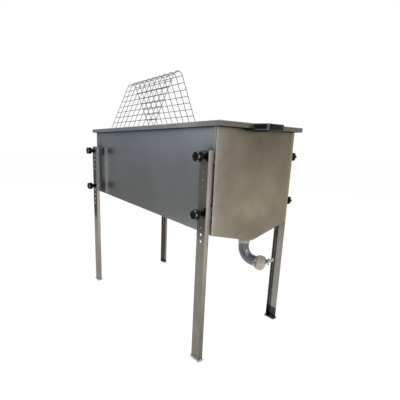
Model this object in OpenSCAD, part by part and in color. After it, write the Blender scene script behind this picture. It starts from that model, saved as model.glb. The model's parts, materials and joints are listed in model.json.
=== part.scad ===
// Uncapping tank on four bolted legs: a stainless trough with a sloping V floor,
// a wire easel standing inside it, carrying handles and a swing gate under the outlet.
// Frame: +X to the outlet end, -Y to the near long side, +Z up.
// The origin is on the ground under the middle of the tank.

/* [Tank body] */
// Outside length of the tank body
body_l = 953; // [760:1:1400]
// Outside width of the tank body
body_w = 449; // [400:1:560]
// Height of the rim above the ground
rim_h = 880; // [820:1:1000]
// Depth of the long walls at the outlet end
wall_depth = 391; // [360:1:430]
// How much higher the floor lies at the back end
floor_fall = 47; // [20:1:60]
// Drop of the floor from the long walls to its fold
floor_drop = 54; // [36:1:66]
// Outside radius of the fold along the floor
fold_r = 80; // [40:1:120]
// Flats that make each half of the fold
fold_flats = 3; // [1:1:6]
// Sheet thickness of the body and its rim
sheet_t = 1.2; // [0.8:0.1:1.6]
// Outside radius of the upright corners
corner_r = 6; // [4:0.5:7]
// Length of each end panel's return along the long walls
end_return = 16; // [12:1:30]

/* [Rim] */
// Overhang of the rim at the two ends
rim_end_w = 23.5; // [18:0.5:34]
// Overhang of the rim along the two sides
rim_side_w = 12.5; // [9:0.5:20]
// Height of the turned-down lip
lip_h = 18; // [14:0.5:24]
// Outside radius of the fold between the rim and its lip
rim_bend_r = 3; // [2:0.5:5]

/* [Easel ledges] */
// Depth of the ledges below the rim
ledge_drop = 169; // [130:1:200]
// Width of a ledge
ledge_w = 21; // [18:0.5:28]
// Height of the strip that joins a ledge to its wall
ledge_strip = 16; // [10:0.5:24]
// Thickness of a ledge
ledge_t = 1.5; // [1:0.1:2]
// Space between the ends of a ledge and the end panels
ledge_end_gap = 8; // [7:0.5:20]

/* [Legs] */
// Width of a leg's outer face
leg_web = 42; // [36:0.5:48]
// Width of a leg's side flange
leg_flange = 18.5; // [14:0.5:24]
// Sheet thickness of a leg
leg_t = 2; // [1.5:0.1:2.5]
// Outside radius of a leg's fold
leg_bend_r = 3.5; // [3:0.1:5]
// Distance from a long wall to the outer face of its legs
leg_offset = 35.5; // [30:0.5:45]
// Shift of the other two legs from the ends of the tank, against the corner legs
leg_stagger = 27.6; // [0:0.1:60]
// Height of a leg above its upper knob
leg_head = 20; // [16:0.5:30]
// Spacing of the height holes
hole_pitch = 25; // [20:0.5:28]
// Height holes in each row
hole_count = 5; // [2:1:5]
// Radial clearance of a stud in the height holes
hole_clear = 0.5; // [0.3:0.1:1.5]
// Thickness of a foot plate
foot_t = 6; // [4:0.5:10]
// Margin of a foot plate round its leg
foot_margin = 4.5; // [2:0.5:10]
// Corner radius of a foot plate
foot_corner_r = 2; // [0.5:0.5:4]

/* [Leg brackets] */
// Space between a captive nut's corners and the sides of its bracket
nut_room = 1.5; // [0.5:0.1:2]
// Space between a corner's bend and the nearest bracket
bracket_edge = 0.2; // [0.1:0.1:6]
// Height of a bracket
bracket_h = 45; // [30:1:60]
// Sheet thickness of a bracket
bracket_t = 2; // [1.5:0.1:2.5]
// Height of the upper knobs below the rim
knob_drop = 117; // [80:1:130]
// Height of the lower brackets above the walls' lower edge at the back end
bracket_rise = 11.5; // [8:0.5:40]

/* [Knobs] */
// Diameter over the lobes of a knob
knob_d = 38; // [34:0.5:46]
// Lobes of a knob
knob_lobes = 6; // [5:1:8]
// Radius of a lobe
lobe_r = 6.5; // [5:0.1:8]
// Thickness of a knob's head
knob_head_h = 22; // [18:0.5:28]
// Length of a knob's neck
knob_neck_h = 18; // [10:0.5:24]
// Diameter of a knob's neck at the leg
knob_neck_d = 16; // [14:0.5:20]
// Diameter of a knob's neck under its head
knob_shoulder_d = 25; // [20:0.5:28]
// Radius of the rounded edge of a knob's head
knob_edge_r = 4.5; // [2:0.5:6]
// Diameter of a stud
stud_d = 8; // [6:0.1:8]
// Depth of a stud in its knob
stud_grip = 26; // [16:0.5:28]
// Width across the flats of a captive nut
nut_flats = 13; // [12:0.5:13.5]
// Height of a captive nut
nut_h = 6.5; // [5:0.1:8]
// Length of a stud past its nut
stud_over = 4; // [2:0.5:10]

/* [Handles] */
// Distance between a handle's two feet, centre to centre
handle_base = 122; // [100:1:160]
// Distance between a handle's two bends, centre to centre
handle_grip = 84; // [80:1:100]
// Reach of a handle from the lip
handle_reach = 43; // [36:0.5:50]
// Thickness of a handle's bar seen from above
handle_bar = 16; // [13:0.5:18]
// Height of a handle's bar
handle_bar_h = 22; // [16:0.5:24]
// Radius of the bar's rounded edges
handle_edge_r = 5; // [3:0.5:6]
// Depth of a handle's middle below the lip's middle
handle_low = 3; // [0:0.5:3]
// Diameter of a handle screw
screw_d = 5; // [4:0.1:6]
// Diameter of a handle screw's head
screw_head_d = 10; // [8:0.5:11]
// Height of a handle screw's head
screw_head_h = 3; // [2:0.5:4]
// Depth of a handle screw in the handle
screw_grip = 10; // [8:0.5:16]

/* [Outlet pipe] */
// Outside diameter of the pipe
pipe_d = 42; // [38:0.5:44]
// Wall of the pipe
pipe_t = 1.5; // [1:0.1:2.5]
// Distance from the end of the tank to the outlet pipe
outlet_edge = 16; // [10:0.5:60]
// Length of the outlet's socket below the floor's fold
socket_h = 8.4; // [8:0.1:30]
// Bend radius of the elbow
elbow_r = 48.6; // [44:0.1:52]
// Straight length of the elbow above its bend
elbow_rise = 19; // [8:0.5:24]
// Straight length of the elbow after its bend
elbow_run = 30; // [16:0.5:40]
// Wall of the coupling sleeve
coupling_t = 2; // [1:0.1:4]
// Length of the coupling sleeve
coupling_h = 14; // [10:0.5:15]

/* [Gate] */
// Diameter of the gate's face and its disc
gate_d = 58; // [54:0.5:66]
// Thickness of the gate's face
gate_t = 12; // [10:0.5:16]
// Wall of the gate's neck
gate_neck_t = 2.5; // [1.5:0.1:5]
// Length of the gate's neck over the pipe
gate_neck_h = 6; // [4:0.5:12]
// Distance from the gate's edge to the axis of each gate bolt
lug_gap = 6; // [5.6:0.1:10]
// Radius of a lug
lug_r = 8; // [7:0.5:9]
// Thickness of a lug
lug_t = 7; // [5:0.5:9]
// Diameter of the gate bolts
gate_bolt_d = 6; // [5:0.1:6]
// Width across the flats of a gate bolt's head
bolt_flats = 9.5; // [8:0.5:10]
// Height of a gate bolt's head or nut
bolt_head_h = 4; // [3:0.5:4.5]
// Distance from the bore to the middle of the seal
seal_inset = 3.5; // [2.5:0.1:5]
// Diameter of the seal's cord
seal_cord = 3; // [2:0.1:3.5]
// How far the seal stands out of its groove
seal_proud = 0.2; // [0.1:0.05:0.3]
// Thickness of the disc
disc_t = 4.5; // [3:0.5:6]
// Depth of the bevel round the disc's face
disc_crown = 1; // [0.5:0.1:2]
// Width of the bevel round the disc's face
disc_bevel = 3; // [1:0.5:6]
// Length of the disc's lever past the clamp bolt
lever_past = 41; // [20:0.5:60]
// Width of the disc's lever
lever_w = 14; // [12:0.5:16]
// Diameter of the wing nut's hub
wing_hub_d = 12; // [10:0.5:13]
// Height of the wing nut's hub
wing_hub_h = 5.5; // [5:0.5:8]
// Height of the wings' lower edge on the hub
wing_rise = 2; // [1:0.5:3]
// Span of the wings
wing_span = 27; // [22:0.5:34]
// Thickness of the wings
wing_t = 2.5; // [1.5:0.1:3]
// Radius of a wing's rounded tip
wing_tip_r = 3; // [2:0.5:3]

/* [Wire easel] */
// Length of the easel over its end hoops
easel_l = 436; // [300:1:460]
// Space between the easel and the back end panel
easel_end_gap = 10; // [6:0.5:30]
// Distance of the easel's foot wires from the ledges' inner edges
foot_inset = 8.5; // [5:0.5:12]
// Lean of the easel's sides from upright, in degrees
easel_lean = 24.3; // [20:0.1:30]
// Radius of the ridge, to the middle of the hoop wire
ridge_r = 28.5; // [20:0.5:45]
// Mesh cells along the easel
cells_long = 9; // [4:1:10]
// Mesh cells from the ridge to each foot
cells_side = 15; // [6:1:15]
// Diameter of the wire
wire_d = 3; // [2:0.1:4]
// Length of the wires past the outermost crossings
wire_over = 2; // [1:0.1:2.5]

/* [Fits] */
// Radial clearance of a turning bolt or stud
run_fit = 0.05; // [0.02:0.01:0.1]
// Space between faces that move past each other
slide_gap = 0.3; // [0.2:0.05:0.5]
// Space between crossing wires, filled by their welds
weld_gap = 0.1; // [0.05:0.05:0.2]
// Radial clearance of a screw in its hole through the lip
screw_clear = 0.2; // [0.1:0.05:0.5]
// Side clearance of the disc's open slot round its bolt
slot_clear = 0.9; // [0.8:0.1:1.2]

/* [Hidden] */
$fn = 64;

// Body outline
half_l = body_l / 2;
half_w = body_w / 2;
rim_l = body_l + 2 * rim_end_w;
rim_w = body_w + 2 * rim_side_w;
wall_top = rim_h - sheet_t;
end_fold_z = rim_h - wall_depth - floor_drop;
floor_slope = atan(floor_fall / body_l);
floor_lean = atan(floor_drop * cos(floor_slope) / half_w);
floor_axis_z = end_fold_z + floor_fall / 2;
// Corner of the rim's mitre, pulled inside the tank by the rim's own width
mitre_x = half_l - 2 * sheet_t - rim_end_w;
mitre_y = half_w - 2 * sheet_t - rim_side_w;
// Places on the legs
hole_d = stud_d + 2 * hole_clear;
nut_d = nut_flats / cos(30);
bracket_w = nut_d + 2 * (nut_room + bracket_t);
corner_leg_x = half_l - corner_r - bracket_edge - bracket_w / 2;
leg_places = [corner_leg_x, leg_stagger - corner_leg_x];
web_y = half_w + leg_offset;
knob_high_z = rim_h - knob_drop;
knob_low_z = rim_h - wall_depth + floor_fall + bracket_rise + bracket_h / 2;
knob_heights = [knob_high_z, knob_low_z];
leg_top = knob_high_z + leg_head;
// Places along the outlet
pipe_bore = pipe_d - 2 * pipe_t;
outlet_x = half_l - outlet_edge - pipe_d / 2;
elbow_top_z = end_fold_z - socket_h;
outlet_z = elbow_top_z - elbow_rise - elbow_r;
seal_d = pipe_bore + 2 * seal_inset;
lug_offset = gate_d / 2 + lug_gap;
lever_reach = lug_offset + lever_past;
gate_back_x = outlet_x + elbow_r + elbow_run;
gate_face_x = gate_back_x + gate_t;
disc_back_x = gate_face_x + seal_proud + slide_gap;
disc_front_x = disc_back_x + disc_t;
bolt_seat_x = disc_front_x + slide_gap;
lug_back_x = gate_face_x - lug_t;
// Places on the easel
ledge_top = rim_h - ledge_drop;
wire_r = wire_d / 2;
wire_step = wire_d + weld_gap;
ridge_turn = 90 - easel_lean;
ridge_arc = ridge_r * ridge_turn * PI / 180;
foot_wire_y = half_w - sheet_t - ledge_w + foot_inset;
foot_wire_z = ledge_top + slide_gap + wire_r;
hoop_foot_y = foot_wire_y + wire_step * cos(easel_lean);
hoop_foot_z = foot_wire_z + wire_step * sin(easel_lean);
ridge_end_y = ridge_r * cos(easel_lean);
side_len = (hoop_foot_y - ridge_end_y) / sin(easel_lean);
ridge_z = hoop_foot_z + side_len * cos(easel_lean) - ridge_r * sin(easel_lean);
girth_pitch = (ridge_arc + side_len) / cells_side;
long_pitch = easel_l / cells_long;
easel_back_x = sheet_t + easel_end_gap - half_l;
// Overlap that makes a hoop's bend and straight lengths one wire
bend_lap = 0.001;
// A length past every piece, for cuts
beyond = 2 * (body_l + rim_h);

steel_wall = [0.45, 0.46, 0.49];
steel_end = [0.56, 0.52, 0.47];
steel_rim = [0.64, 0.62, 0.58];
steel_leg = [0.50, 0.49, 0.45];
steel_dark = [0.36, 0.37, 0.40];
steel_wire = [0.33, 0.34, 0.36];
black_plastic = [0.05, 0.05, 0.06];
seal_rubber = [0.75, 0.72, 0.66];

// Flat shapes

module rounded_rect(width, height, radius) {
  square([width - 2 * radius, height], center = true);
  square([width, height - 2 * radius], center = true);
  for (sx = [-1, 1], sy = [-1, 1])
    translate([sx * (width / 2 - radius), sy * (height / 2 - radius)]) circle(radius);
}

// Quarter of a bent sheet's fold, centred on the bend, towards +x and -y
module fold_quarter(radius, thickness) {
  intersection() {
    difference() {
      circle(radius);
      circle(radius - thickness);
    }
    translate([0, -radius]) square(radius);
  }
}

// Area above the floor's V, moved up square to its faces by an amount; the fold is bent in short flats
module above_v(raise) {
  centre_h = fold_r / cos(floor_lean);
  arc_r = fold_r - raise;
  reach = 2 * body_w;
  bend = [
    for (step = [-fold_flats : fold_flats])
      let (turn = floor_lean * step / fold_flats)
      [arc_r * sin(turn), centre_h - arc_r * cos(turn)]
  ];
  run = reach * [cos(floor_lean), sin(floor_lean)];
  right = bend[2 * fold_flats] + run;
  polygon(concat(bend, [right, [right[0], beyond], [-right[0], beyond], [-right[0], right[1]]]));
}

// Plan of the walls all round the tank
module wall_ring() {
  difference() {
    rounded_rect(body_l, body_w, corner_r);
    inside_plan();
  }
}

module inside_plan() {
  rounded_rect(body_l - 2 * sheet_t, body_w - 2 * sheet_t, corner_r - sheet_t);
}

// Tank body

module above_floor(raise) {
  translate([0, 0, floor_axis_z])
    rotate([0, floor_slope, 0])
      rotate([90, 0, 90])
        linear_extrude(beyond, center = true) above_v(raise);
}

// Walls over part of the plan, from the rim down to the underside of the floor
module body_walls() {
  intersection() {
    linear_extrude(wall_top)
      intersection() {
        wall_ring();
        children();
      }
    above_floor(0);
  }
}

module long_wall(side) {
  color(steel_wall)
    body_walls()
      translate([0, side * half_w]) square([body_l - 2 * end_return, body_w], center = true);
}

module end_panel(end) {
  color(steel_end)
    body_walls()
      translate([end * half_l, 0]) square([2 * end_return, 2 * body_w], center = true);
}

module floor_sheet() {
  color(steel_wall)
    difference() {
      intersection() {
        linear_extrude(wall_top) inside_plan();
        above_floor(0);
      }
      above_floor(sheet_t);
      translate([outlet_x, 0, 0]) cylinder(d = pipe_bore, h = rim_h);
    }
}

module ledge(side) {
  length = body_l - 2 * (sheet_t + ledge_end_gap);
  wall_y = half_w - sheet_t;
  color(steel_wall)
    rotate([0, 0, side > 0 ? 0 : 180])
      translate([-length / 2, wall_y, ledge_top])
        rotate([90, 0, 90])
          linear_extrude(length) {
            translate([-ledge_w, -ledge_t]) square([ledge_w, ledge_t]);
            translate([-ledge_t, -ledge_strip]) square([ledge_t, ledge_strip]);
          }
}

// Rim

// Section of the rim: outwards to +x, its top at zero
module rim_section(overhang) {
  inward = 2 * corner_r;
  translate([-inward, -sheet_t]) square([inward + overhang - rim_bend_r, sheet_t]);
  translate([overhang - sheet_t, -lip_h]) square([sheet_t, lip_h - rim_bend_r]);
  translate([overhang - rim_bend_r, -rim_bend_r]) mirror([0, 1]) fold_quarter(rim_bend_r, sheet_t);
}

// Mitred plan of the rim along one side, towards +y
module mitre_plan(outer, inner) {
  polygon([outer, [-outer[0], outer[1]], [-inner[0], inner[1]], inner]);
}

module rim_strip(length, face, overhang, turn, outer, inner) {
  color(steel_rim)
    difference() {
      rotate([0, 0, turn])
        intersection() {
          translate([length / 2, face, rim_h])
            rotate([90, 0, -90])
              mirror([1, 0, 0])
                linear_extrude(length) rim_section(overhang);
          linear_extrude(beyond) mitre_plan(outer, inner);
        }
      linear_extrude(beyond) inside_plan();
      handle_screw_holes(screw_d + 2 * screw_clear);
    }
}

module rim_side(side) {
  turn = side > 0 ? 0 : 180;
  rim_strip(rim_l, half_w, rim_side_w, turn, [rim_l / 2, rim_w / 2], [mitre_x, mitre_y]);
}

module rim_end(end) {
  turn = end > 0 ? -90 : 90;
  rim_strip(rim_w, half_l, rim_end_w, turn, [rim_w / 2, rim_l / 2], [mitre_y, mitre_x]);
}

// Legs, with the hole line at x = 0, the outer face at y = 0 and the tank towards +y

// Place of a leg: 0 near the outlet, 1 near the back, 2 and 3 the same turned to the far side
module at_leg(index) {
  rotate([0, 0, index < 2 ? 0 : 180])
    translate([leg_places[index % 2], -web_y, 0]) children();
}

module leg_section() {
  heel = leg_web / 2;
  translate([-heel, 0]) square([leg_web - leg_bend_r, leg_t]);
  translate([heel - leg_t, leg_bend_r]) square([leg_t, leg_flange - leg_bend_r]);
  translate([heel - leg_bend_r, leg_bend_r]) fold_quarter(leg_bend_r, leg_t);
}

// Level bore through a leg or bracket
module cross_bore(diameter) {
  rotate([90, 0, 0]) cylinder(d = diameter, h = 4 * leg_offset, center = true);
}

module leg(index) {
  color(steel_leg)
    at_leg(index)
      difference() {
        translate([0, 0, foot_t]) linear_extrude(leg_top - foot_t) leg_section();
        for (height = knob_heights, step = [0 : hole_count - 1])
          translate([0, 0, height - step * hole_pitch]) cross_bore(hole_d);
      }
}

module foot(index) {
  color(steel_leg)
    at_leg(index)
      translate([0, leg_flange / 2, 0])
        linear_extrude(foot_t)
          rounded_rect(leg_web + 2 * foot_margin, leg_flange + 2 * foot_margin, foot_corner_r);
}

module leg_bracket() {
  depth = leg_offset - leg_t;
  difference() {
    translate([0, leg_t, -bracket_h / 2])
      linear_extrude(bracket_h)
        difference() {
          translate([-bracket_w / 2, 0]) square([bracket_w, depth]);
          translate([bracket_t - bracket_w / 2, bracket_t]) square([bracket_w - 2 * bracket_t, depth]);
        }
    cross_bore(hole_d);
  }
}

module leg_brackets() {
  color(steel_wall)
    for (index = [0 : 3], height = knob_heights)
      at_leg(index) translate([0, 0, height]) leg_bracket();
}

module captive_nuts() {
  color(steel_dark)
    for (index = [0 : 3], height = knob_heights)
      at_leg(index)
        translate([0, leg_t + bracket_t, height])
          rotate([-90, 0, 0])
            difference() {
              cylinder(d = nut_d, h = nut_h, $fn = 6);
              translate([0, 0, -nut_h]) cylinder(d = stud_d + 2 * run_fit, h = 3 * nut_h);
            }
}

// Knobs, with the leg's face at z = 0 and the head towards +z

module at_knob(index, level) {
  at_leg(index) translate([0, 0, knob_heights[level]]) rotate([90, 0, 0]) children();
}

module knob_outline() {
  lobe_circle = knob_d / 2 - lobe_r;
  circle(lobe_circle);
  for (lobe = [0 : knob_lobes - 1])
    rotate(lobe * 360 / knob_lobes) translate([lobe_circle, 0]) circle(lobe_r);
}

module knob_head_section() {
  square([knob_d / 2 - knob_edge_r, knob_head_h]);
  translate([0, knob_edge_r]) square([knob_d / 2, knob_head_h - 2 * knob_edge_r]);
  for (height = [knob_edge_r, knob_head_h - knob_edge_r])
    translate([knob_d / 2 - knob_edge_r, height]) circle(knob_edge_r);
}

module knob(index, level) {
  color(black_plastic)
    at_knob(index, level)
      translate([0, 0, slide_gap])
        difference() {
          union() {
            cylinder(d1 = knob_neck_d, d2 = knob_shoulder_d, h = knob_neck_h);
            translate([0, 0, knob_neck_h])
              intersection() {
                linear_extrude(knob_head_h) knob_outline();
                rotate_extrude() knob_head_section();
              }
          }
          translate([0, 0, -slide_gap]) cylinder(d = stud_d + 2 * run_fit, h = stud_grip + slide_gap);
        }
}

module stud(index, level) {
  inner_len = leg_t + bracket_t + nut_h + stud_over;
  tip = stud_d / 8;
  color(steel_dark)
    at_knob(index, level) {
      translate([0, 0, -inner_len + tip]) cylinder(d = stud_d, h = inner_len - tip + stud_grip);
      translate([0, 0, -inner_len]) cylinder(d1 = stud_d - 2 * tip, d2 = stud_d, h = tip);
    }
}

// Handles, with the lip's face at x = 0 and the bow towards +x

module at_handle(end) {
  rotate([0, 0, end > 0 ? 0 : 180]) translate([rim_l / 2, 0, rim_h - lip_h / 2 - handle_low]) children();
}

module bar_section() {
  rounded_rect(handle_bar, handle_bar_h, handle_edge_r);
}

// Straight length of bar between two points of the bow
module bar_length(from, to) {
  run = to - from;
  translate([from[0], from[1], 0])
    rotate([0, 0, atan2(run[1], run[0])])
      rotate([90, 0, 90])
        linear_extrude(norm(run)) bar_section();
}

// Rounded turn of the bar
module bar_turn(point) {
  translate([point[0], point[1], 0])
    rotate_extrude()
      intersection() {
        bar_section();
        translate([0, -handle_bar_h]) square(2 * handle_bar_h);
      }
}

module handle(end) {
  front = handle_reach - handle_bar / 2;
  bend = [front, handle_grip / 2];
  seat = [0, handle_base / 2];
  root = seat + (seat - bend) * handle_bar / norm(seat - bend);
  color(black_plastic)
    at_handle(end)
      difference() {
        intersection() {
          union() {
            bar_length([bend[0], -bend[1]], bend);
            for (s = [-1, 1]) {
              bar_turn([bend[0], s * bend[1]]);
              bar_length([root[0], s * root[1]], [bend[0], s * bend[1]]);
            }
          }
          translate([0, -beyond / 2, -beyond / 2]) cube(beyond);
        }
        for (s = [-1, 1])
          translate([0, s * handle_base / 2, 0])
            rotate([0, 90, 0]) cylinder(d = screw_d, h = 2 * screw_grip, center = true);
      }
}

module handle_screw_holes(diameter) {
  for (end = [-1, 1], s = [-1, 1])
    at_handle(end)
      translate([-rim_end_w / 2, s * handle_base / 2, 0])
        rotate([0, 90, 0]) cylinder(d = diameter, h = rim_end_w);
}

module handle_screws() {
  color(steel_rim)
    for (end = [-1, 1], s = [-1, 1])
      at_handle(end)
        translate([-sheet_t, s * handle_base / 2, 0])
          rotate([0, 90, 0]) {
            cylinder(d = screw_d, h = sheet_t + screw_grip);
            translate([0, 0, -screw_head_h]) cylinder(d = screw_head_d, h = screw_head_h);
          }
}

// Outlet pipe

module pipe_section() {
  difference() {
    circle(d = pipe_d);
    circle(d = pipe_bore);
  }
}

module outlet_socket() {
  color(steel_dark)
    difference() {
      translate([outlet_x, 0, elbow_top_z])
        linear_extrude(rim_h - elbow_top_z) pipe_section();
      above_floor(0);
    }
}

module outlet_coupling() {
  color(steel_rim)
    translate([outlet_x, 0, elbow_top_z - coupling_h / 2])
      linear_extrude(coupling_h)
        difference() {
          circle(d = pipe_d + 2 * coupling_t);
          circle(d = pipe_d);
        }
}

module outlet_elbow() {
  color(steel_dark)
    translate([outlet_x + elbow_r, 0, outlet_z + elbow_r])
      union() {
        rotate([90, 0, 0])
          rotate([0, 0, 180])
            rotate_extrude(angle = 90) translate([elbow_r, 0]) pipe_section();
        translate([-elbow_r, 0, 0]) linear_extrude(elbow_rise) pipe_section();
        translate([0, 0, -elbow_r]) rotate([0, 90, 0]) linear_extrude(elbow_run) pipe_section();
      }
}

// Swing gate, with z along the outlet: y stays level and x points down

module at_outlet(x) {
  translate([x, 0, outlet_z]) rotate([0, 90, 0]) children();
}

module hex_prism(flats, height) {
  cylinder(d = flats / cos(30), h = height, $fn = 6);
}

module gate_body() {
  groove = seal_cord - seal_proud;
  color(steel_rim)
    at_outlet(gate_face_x)
      difference() {
        union() {
          translate([0, 0, -gate_t]) cylinder(d = gate_d, h = gate_t);
          translate([0, 0, -gate_t - gate_neck_h]) cylinder(d = pipe_d + 2 * gate_neck_t, h = gate_neck_h);
          for (s = [-1, 1])
            translate([0, s * lug_offset, -lug_t]) cylinder(r = lug_r, h = lug_t);
          translate([-lug_r, -lug_offset, -lug_t]) cube([2 * lug_r, 2 * lug_offset, lug_t]);
        }
        translate([0, 0, -2 * gate_t]) cylinder(d = pipe_bore, h = 3 * gate_t);
        translate([0, 0, -gate_t - 2 * gate_neck_h]) cylinder(d = pipe_d, h = 2 * gate_neck_h);
        translate([0, 0, -groove])
          linear_extrude(2 * groove)
            difference() {
              circle(d = seal_d + seal_cord + 2 * run_fit);
              circle(d = seal_d - seal_cord - 2 * run_fit);
            }
        for (s = [-1, 1])
          translate([0, s * lug_offset, -2 * lug_t]) cylinder(d = gate_bolt_d, h = 3 * lug_t);
      }
}

module gate_seal() {
  color(seal_rubber)
    at_outlet(gate_face_x + seal_proud - seal_cord / 2)
      rotate_extrude() translate([seal_d / 2, 0]) circle(d = seal_cord);
}

// Bolt through one lug: its shank, and a head or nut behind the lug
module gate_pivot_bolt() {
  color(steel_dark)
    at_outlet(0)
      translate([0, -lug_offset, 0]) {
        translate([0, 0, lug_back_x - bolt_head_h])
          cylinder(d = gate_bolt_d, h = bolt_seat_x - lug_back_x + bolt_head_h);
        translate([0, 0, bolt_seat_x]) hex_prism(bolt_flats, bolt_head_h);
      }
}

module gate_pivot_nut() {
  color(steel_dark)
    at_outlet(lug_back_x - bolt_head_h)
      translate([0, -lug_offset, 0])
        difference() {
          hex_prism(bolt_flats, bolt_head_h);
          translate([0, 0, -bolt_head_h]) cylinder(d = gate_bolt_d, h = 3 * bolt_head_h);
        }
}

module gate_clamp_bolt() {
  color(steel_dark)
    at_outlet(lug_back_x)
      translate([0, lug_offset, 0]) {
        translate([0, 0, -bolt_head_h]) hex_prism(bolt_flats, bolt_head_h);
        cylinder(d = gate_bolt_d, h = bolt_seat_x + wing_hub_h - lug_back_x);
      }
}

module gate_disc() {
  bolt_bore = gate_bolt_d + 2 * run_fit;
  slot_w = gate_bolt_d + 2 * slot_clear;
  color(steel_end)
    at_outlet(disc_back_x)
      difference() {
        union() {
          cylinder(d = gate_d, h = disc_t - disc_crown);
          translate([0, 0, disc_t - disc_crown])
            cylinder(d1 = gate_d, d2 = gate_d - 2 * disc_bevel, h = disc_crown);
          linear_extrude(disc_t) {
            translate([0, -lug_offset]) circle(lug_r);
            translate([-lug_r, -lug_offset]) square([2 * lug_r, lug_offset]);
            translate([-lever_w / 2, 0]) square([lever_w, lever_reach - lever_w / 2]);
            translate([0, lever_reach - lever_w / 2]) circle(d = lever_w);
          }
        }
        translate([0, -lug_offset, -disc_t]) cylinder(d = bolt_bore, h = 3 * disc_t);
        translate([0, lug_offset, -disc_t]) cylinder(d = slot_w, h = 3 * disc_t);
        translate([0, lug_offset - slot_w / 2, -disc_t]) cube([gate_d, slot_w, 3 * disc_t]);
      }
}

module wing_section() {
  tip = wing_span / 2 - wing_tip_r;
  translate([tip, wing_hub_h - wing_tip_r / 2]) circle(wing_tip_r);
  translate([0, wing_rise]) square([tip, wing_hub_h - wing_rise]);
}

module gate_wing_nut() {
  color(steel_rim)
    at_outlet(bolt_seat_x)
      translate([0, lug_offset, 0])
        difference() {
          union() {
            cylinder(d = wing_hub_d, h = wing_hub_h);
            for (turn = [0, 180])
              rotate([0, 0, turn])
                translate([0, wing_t / 2, 0]) rotate([90, 0, 0]) linear_extrude(wing_t) wing_section();
          }
          translate([0, 0, -wing_hub_h]) cylinder(d = gate_bolt_d + 2 * run_fit, h = 4 * wing_hub_h);
        }
}

// Wire easel

// Point on a hoop at a distance along its girth from the ridge, moved in by a depth
function girth_point(girth, depth) =
  let (along = abs(girth), past = max(0, along - ridge_arc))
  let (turn = min(along, ridge_arc) / ridge_r * 180 / PI)
  let (y = (ridge_r - depth) * sin(turn) + past * sin(easel_lean))
  let (z = (ridge_r - depth) * cos(turn) - past * cos(easel_lean))
  [girth < 0 ? -y : y, ridge_z + z];

module hoop() {
  straight = side_len + wire_over;
  rotate([90, 0, 90]) {
    rotate([0, 0, easel_lean])
      rotate_extrude(angle = 2 * ridge_turn) translate([ridge_r, 0]) circle(wire_r);
    rotate([0, 0, easel_lean])
      translate([ridge_r, bend_lap, 0])
        rotate([90, 0, 0]) linear_extrude(straight + bend_lap) circle(wire_r);
    rotate([0, 0, 180 - easel_lean])
      translate([ridge_r, straight, 0])
        rotate([90, 0, 0]) linear_extrude(straight + bend_lap) circle(wire_r);
  }
}

module easel_hoops() {
  color(steel_wire)
    for (step = [0 : cells_long])
      translate([easel_back_x + step * long_pitch, 0, ridge_z]) hoop();
}

module easel_wires() {
  color(steel_wire)
    for (step = [-cells_side : cells_side]) {
      place = girth_point(step * girth_pitch, wire_step);
      translate([easel_back_x - wire_over, place[0], place[1]])
        rotate([0, 90, 0]) cylinder(r = wire_r, h = easel_l + 2 * wire_over);
    }
}

long_wall(-1);  // near_wall
long_wall(1);  // far_wall
end_panel(1);  // drain_end_panel
end_panel(-1);  // back_end_panel
floor_sheet();
rim_side(-1);  // rim_near
rim_side(1);  // rim_far
rim_end(1);  // rim_drain_end
rim_end(-1);  // rim_back_end
ledge(-1);  // ledge_near
ledge(1);  // ledge_far
leg_brackets();
captive_nuts();
leg(0);  // leg_near_drain
leg(1);  // leg_near_back
leg(2);  // leg_far_back
leg(3);  // leg_far_drain
foot(0);  // foot_near_drain
foot(1);  // foot_near_back
foot(2);  // foot_far_back
foot(3);  // foot_far_drain
knob(0, 0);  // knob_near_drain_upper
knob(1, 0);  // knob_near_back_upper
knob(2, 0);  // knob_far_back_upper
knob(3, 0);  // knob_far_drain_upper
knob(0, 1);  // knob_near_drain_lower
knob(1, 1);  // knob_near_back_lower
knob(2, 1);  // knob_far_back_lower
knob(3, 1);  // knob_far_drain_lower
stud(0, 0);  // stud_near_drain_upper
stud(1, 0);  // stud_near_back_upper
stud(2, 0);  // stud_far_back_upper
stud(3, 0);  // stud_far_drain_upper
stud(0, 1);  // stud_near_drain_lower
stud(1, 1);  // stud_near_back_lower
stud(2, 1);  // stud_far_back_lower
stud(3, 1);  // stud_far_drain_lower
handle(1);  // handle_drain_end
handle(-1);  // handle_back_end
handle_screws();
outlet_socket();
outlet_coupling();
outlet_elbow();
gate_body();
gate_seal();
gate_pivot_bolt();
gate_pivot_nut();
gate_clamp_bolt();
gate_disc();
gate_wing_nut();
easel_hoops();
easel_wires();
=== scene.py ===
"""Looks of an uncapping tank on folded legs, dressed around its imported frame, in metres."""

import json
import logging
import math
from collections.abc import Callable
from dataclasses import dataclass
from enum import Enum
from functools import cache
from itertools import product

import bmesh
import bpy
from mathutils import Matrix, Vector

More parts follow.
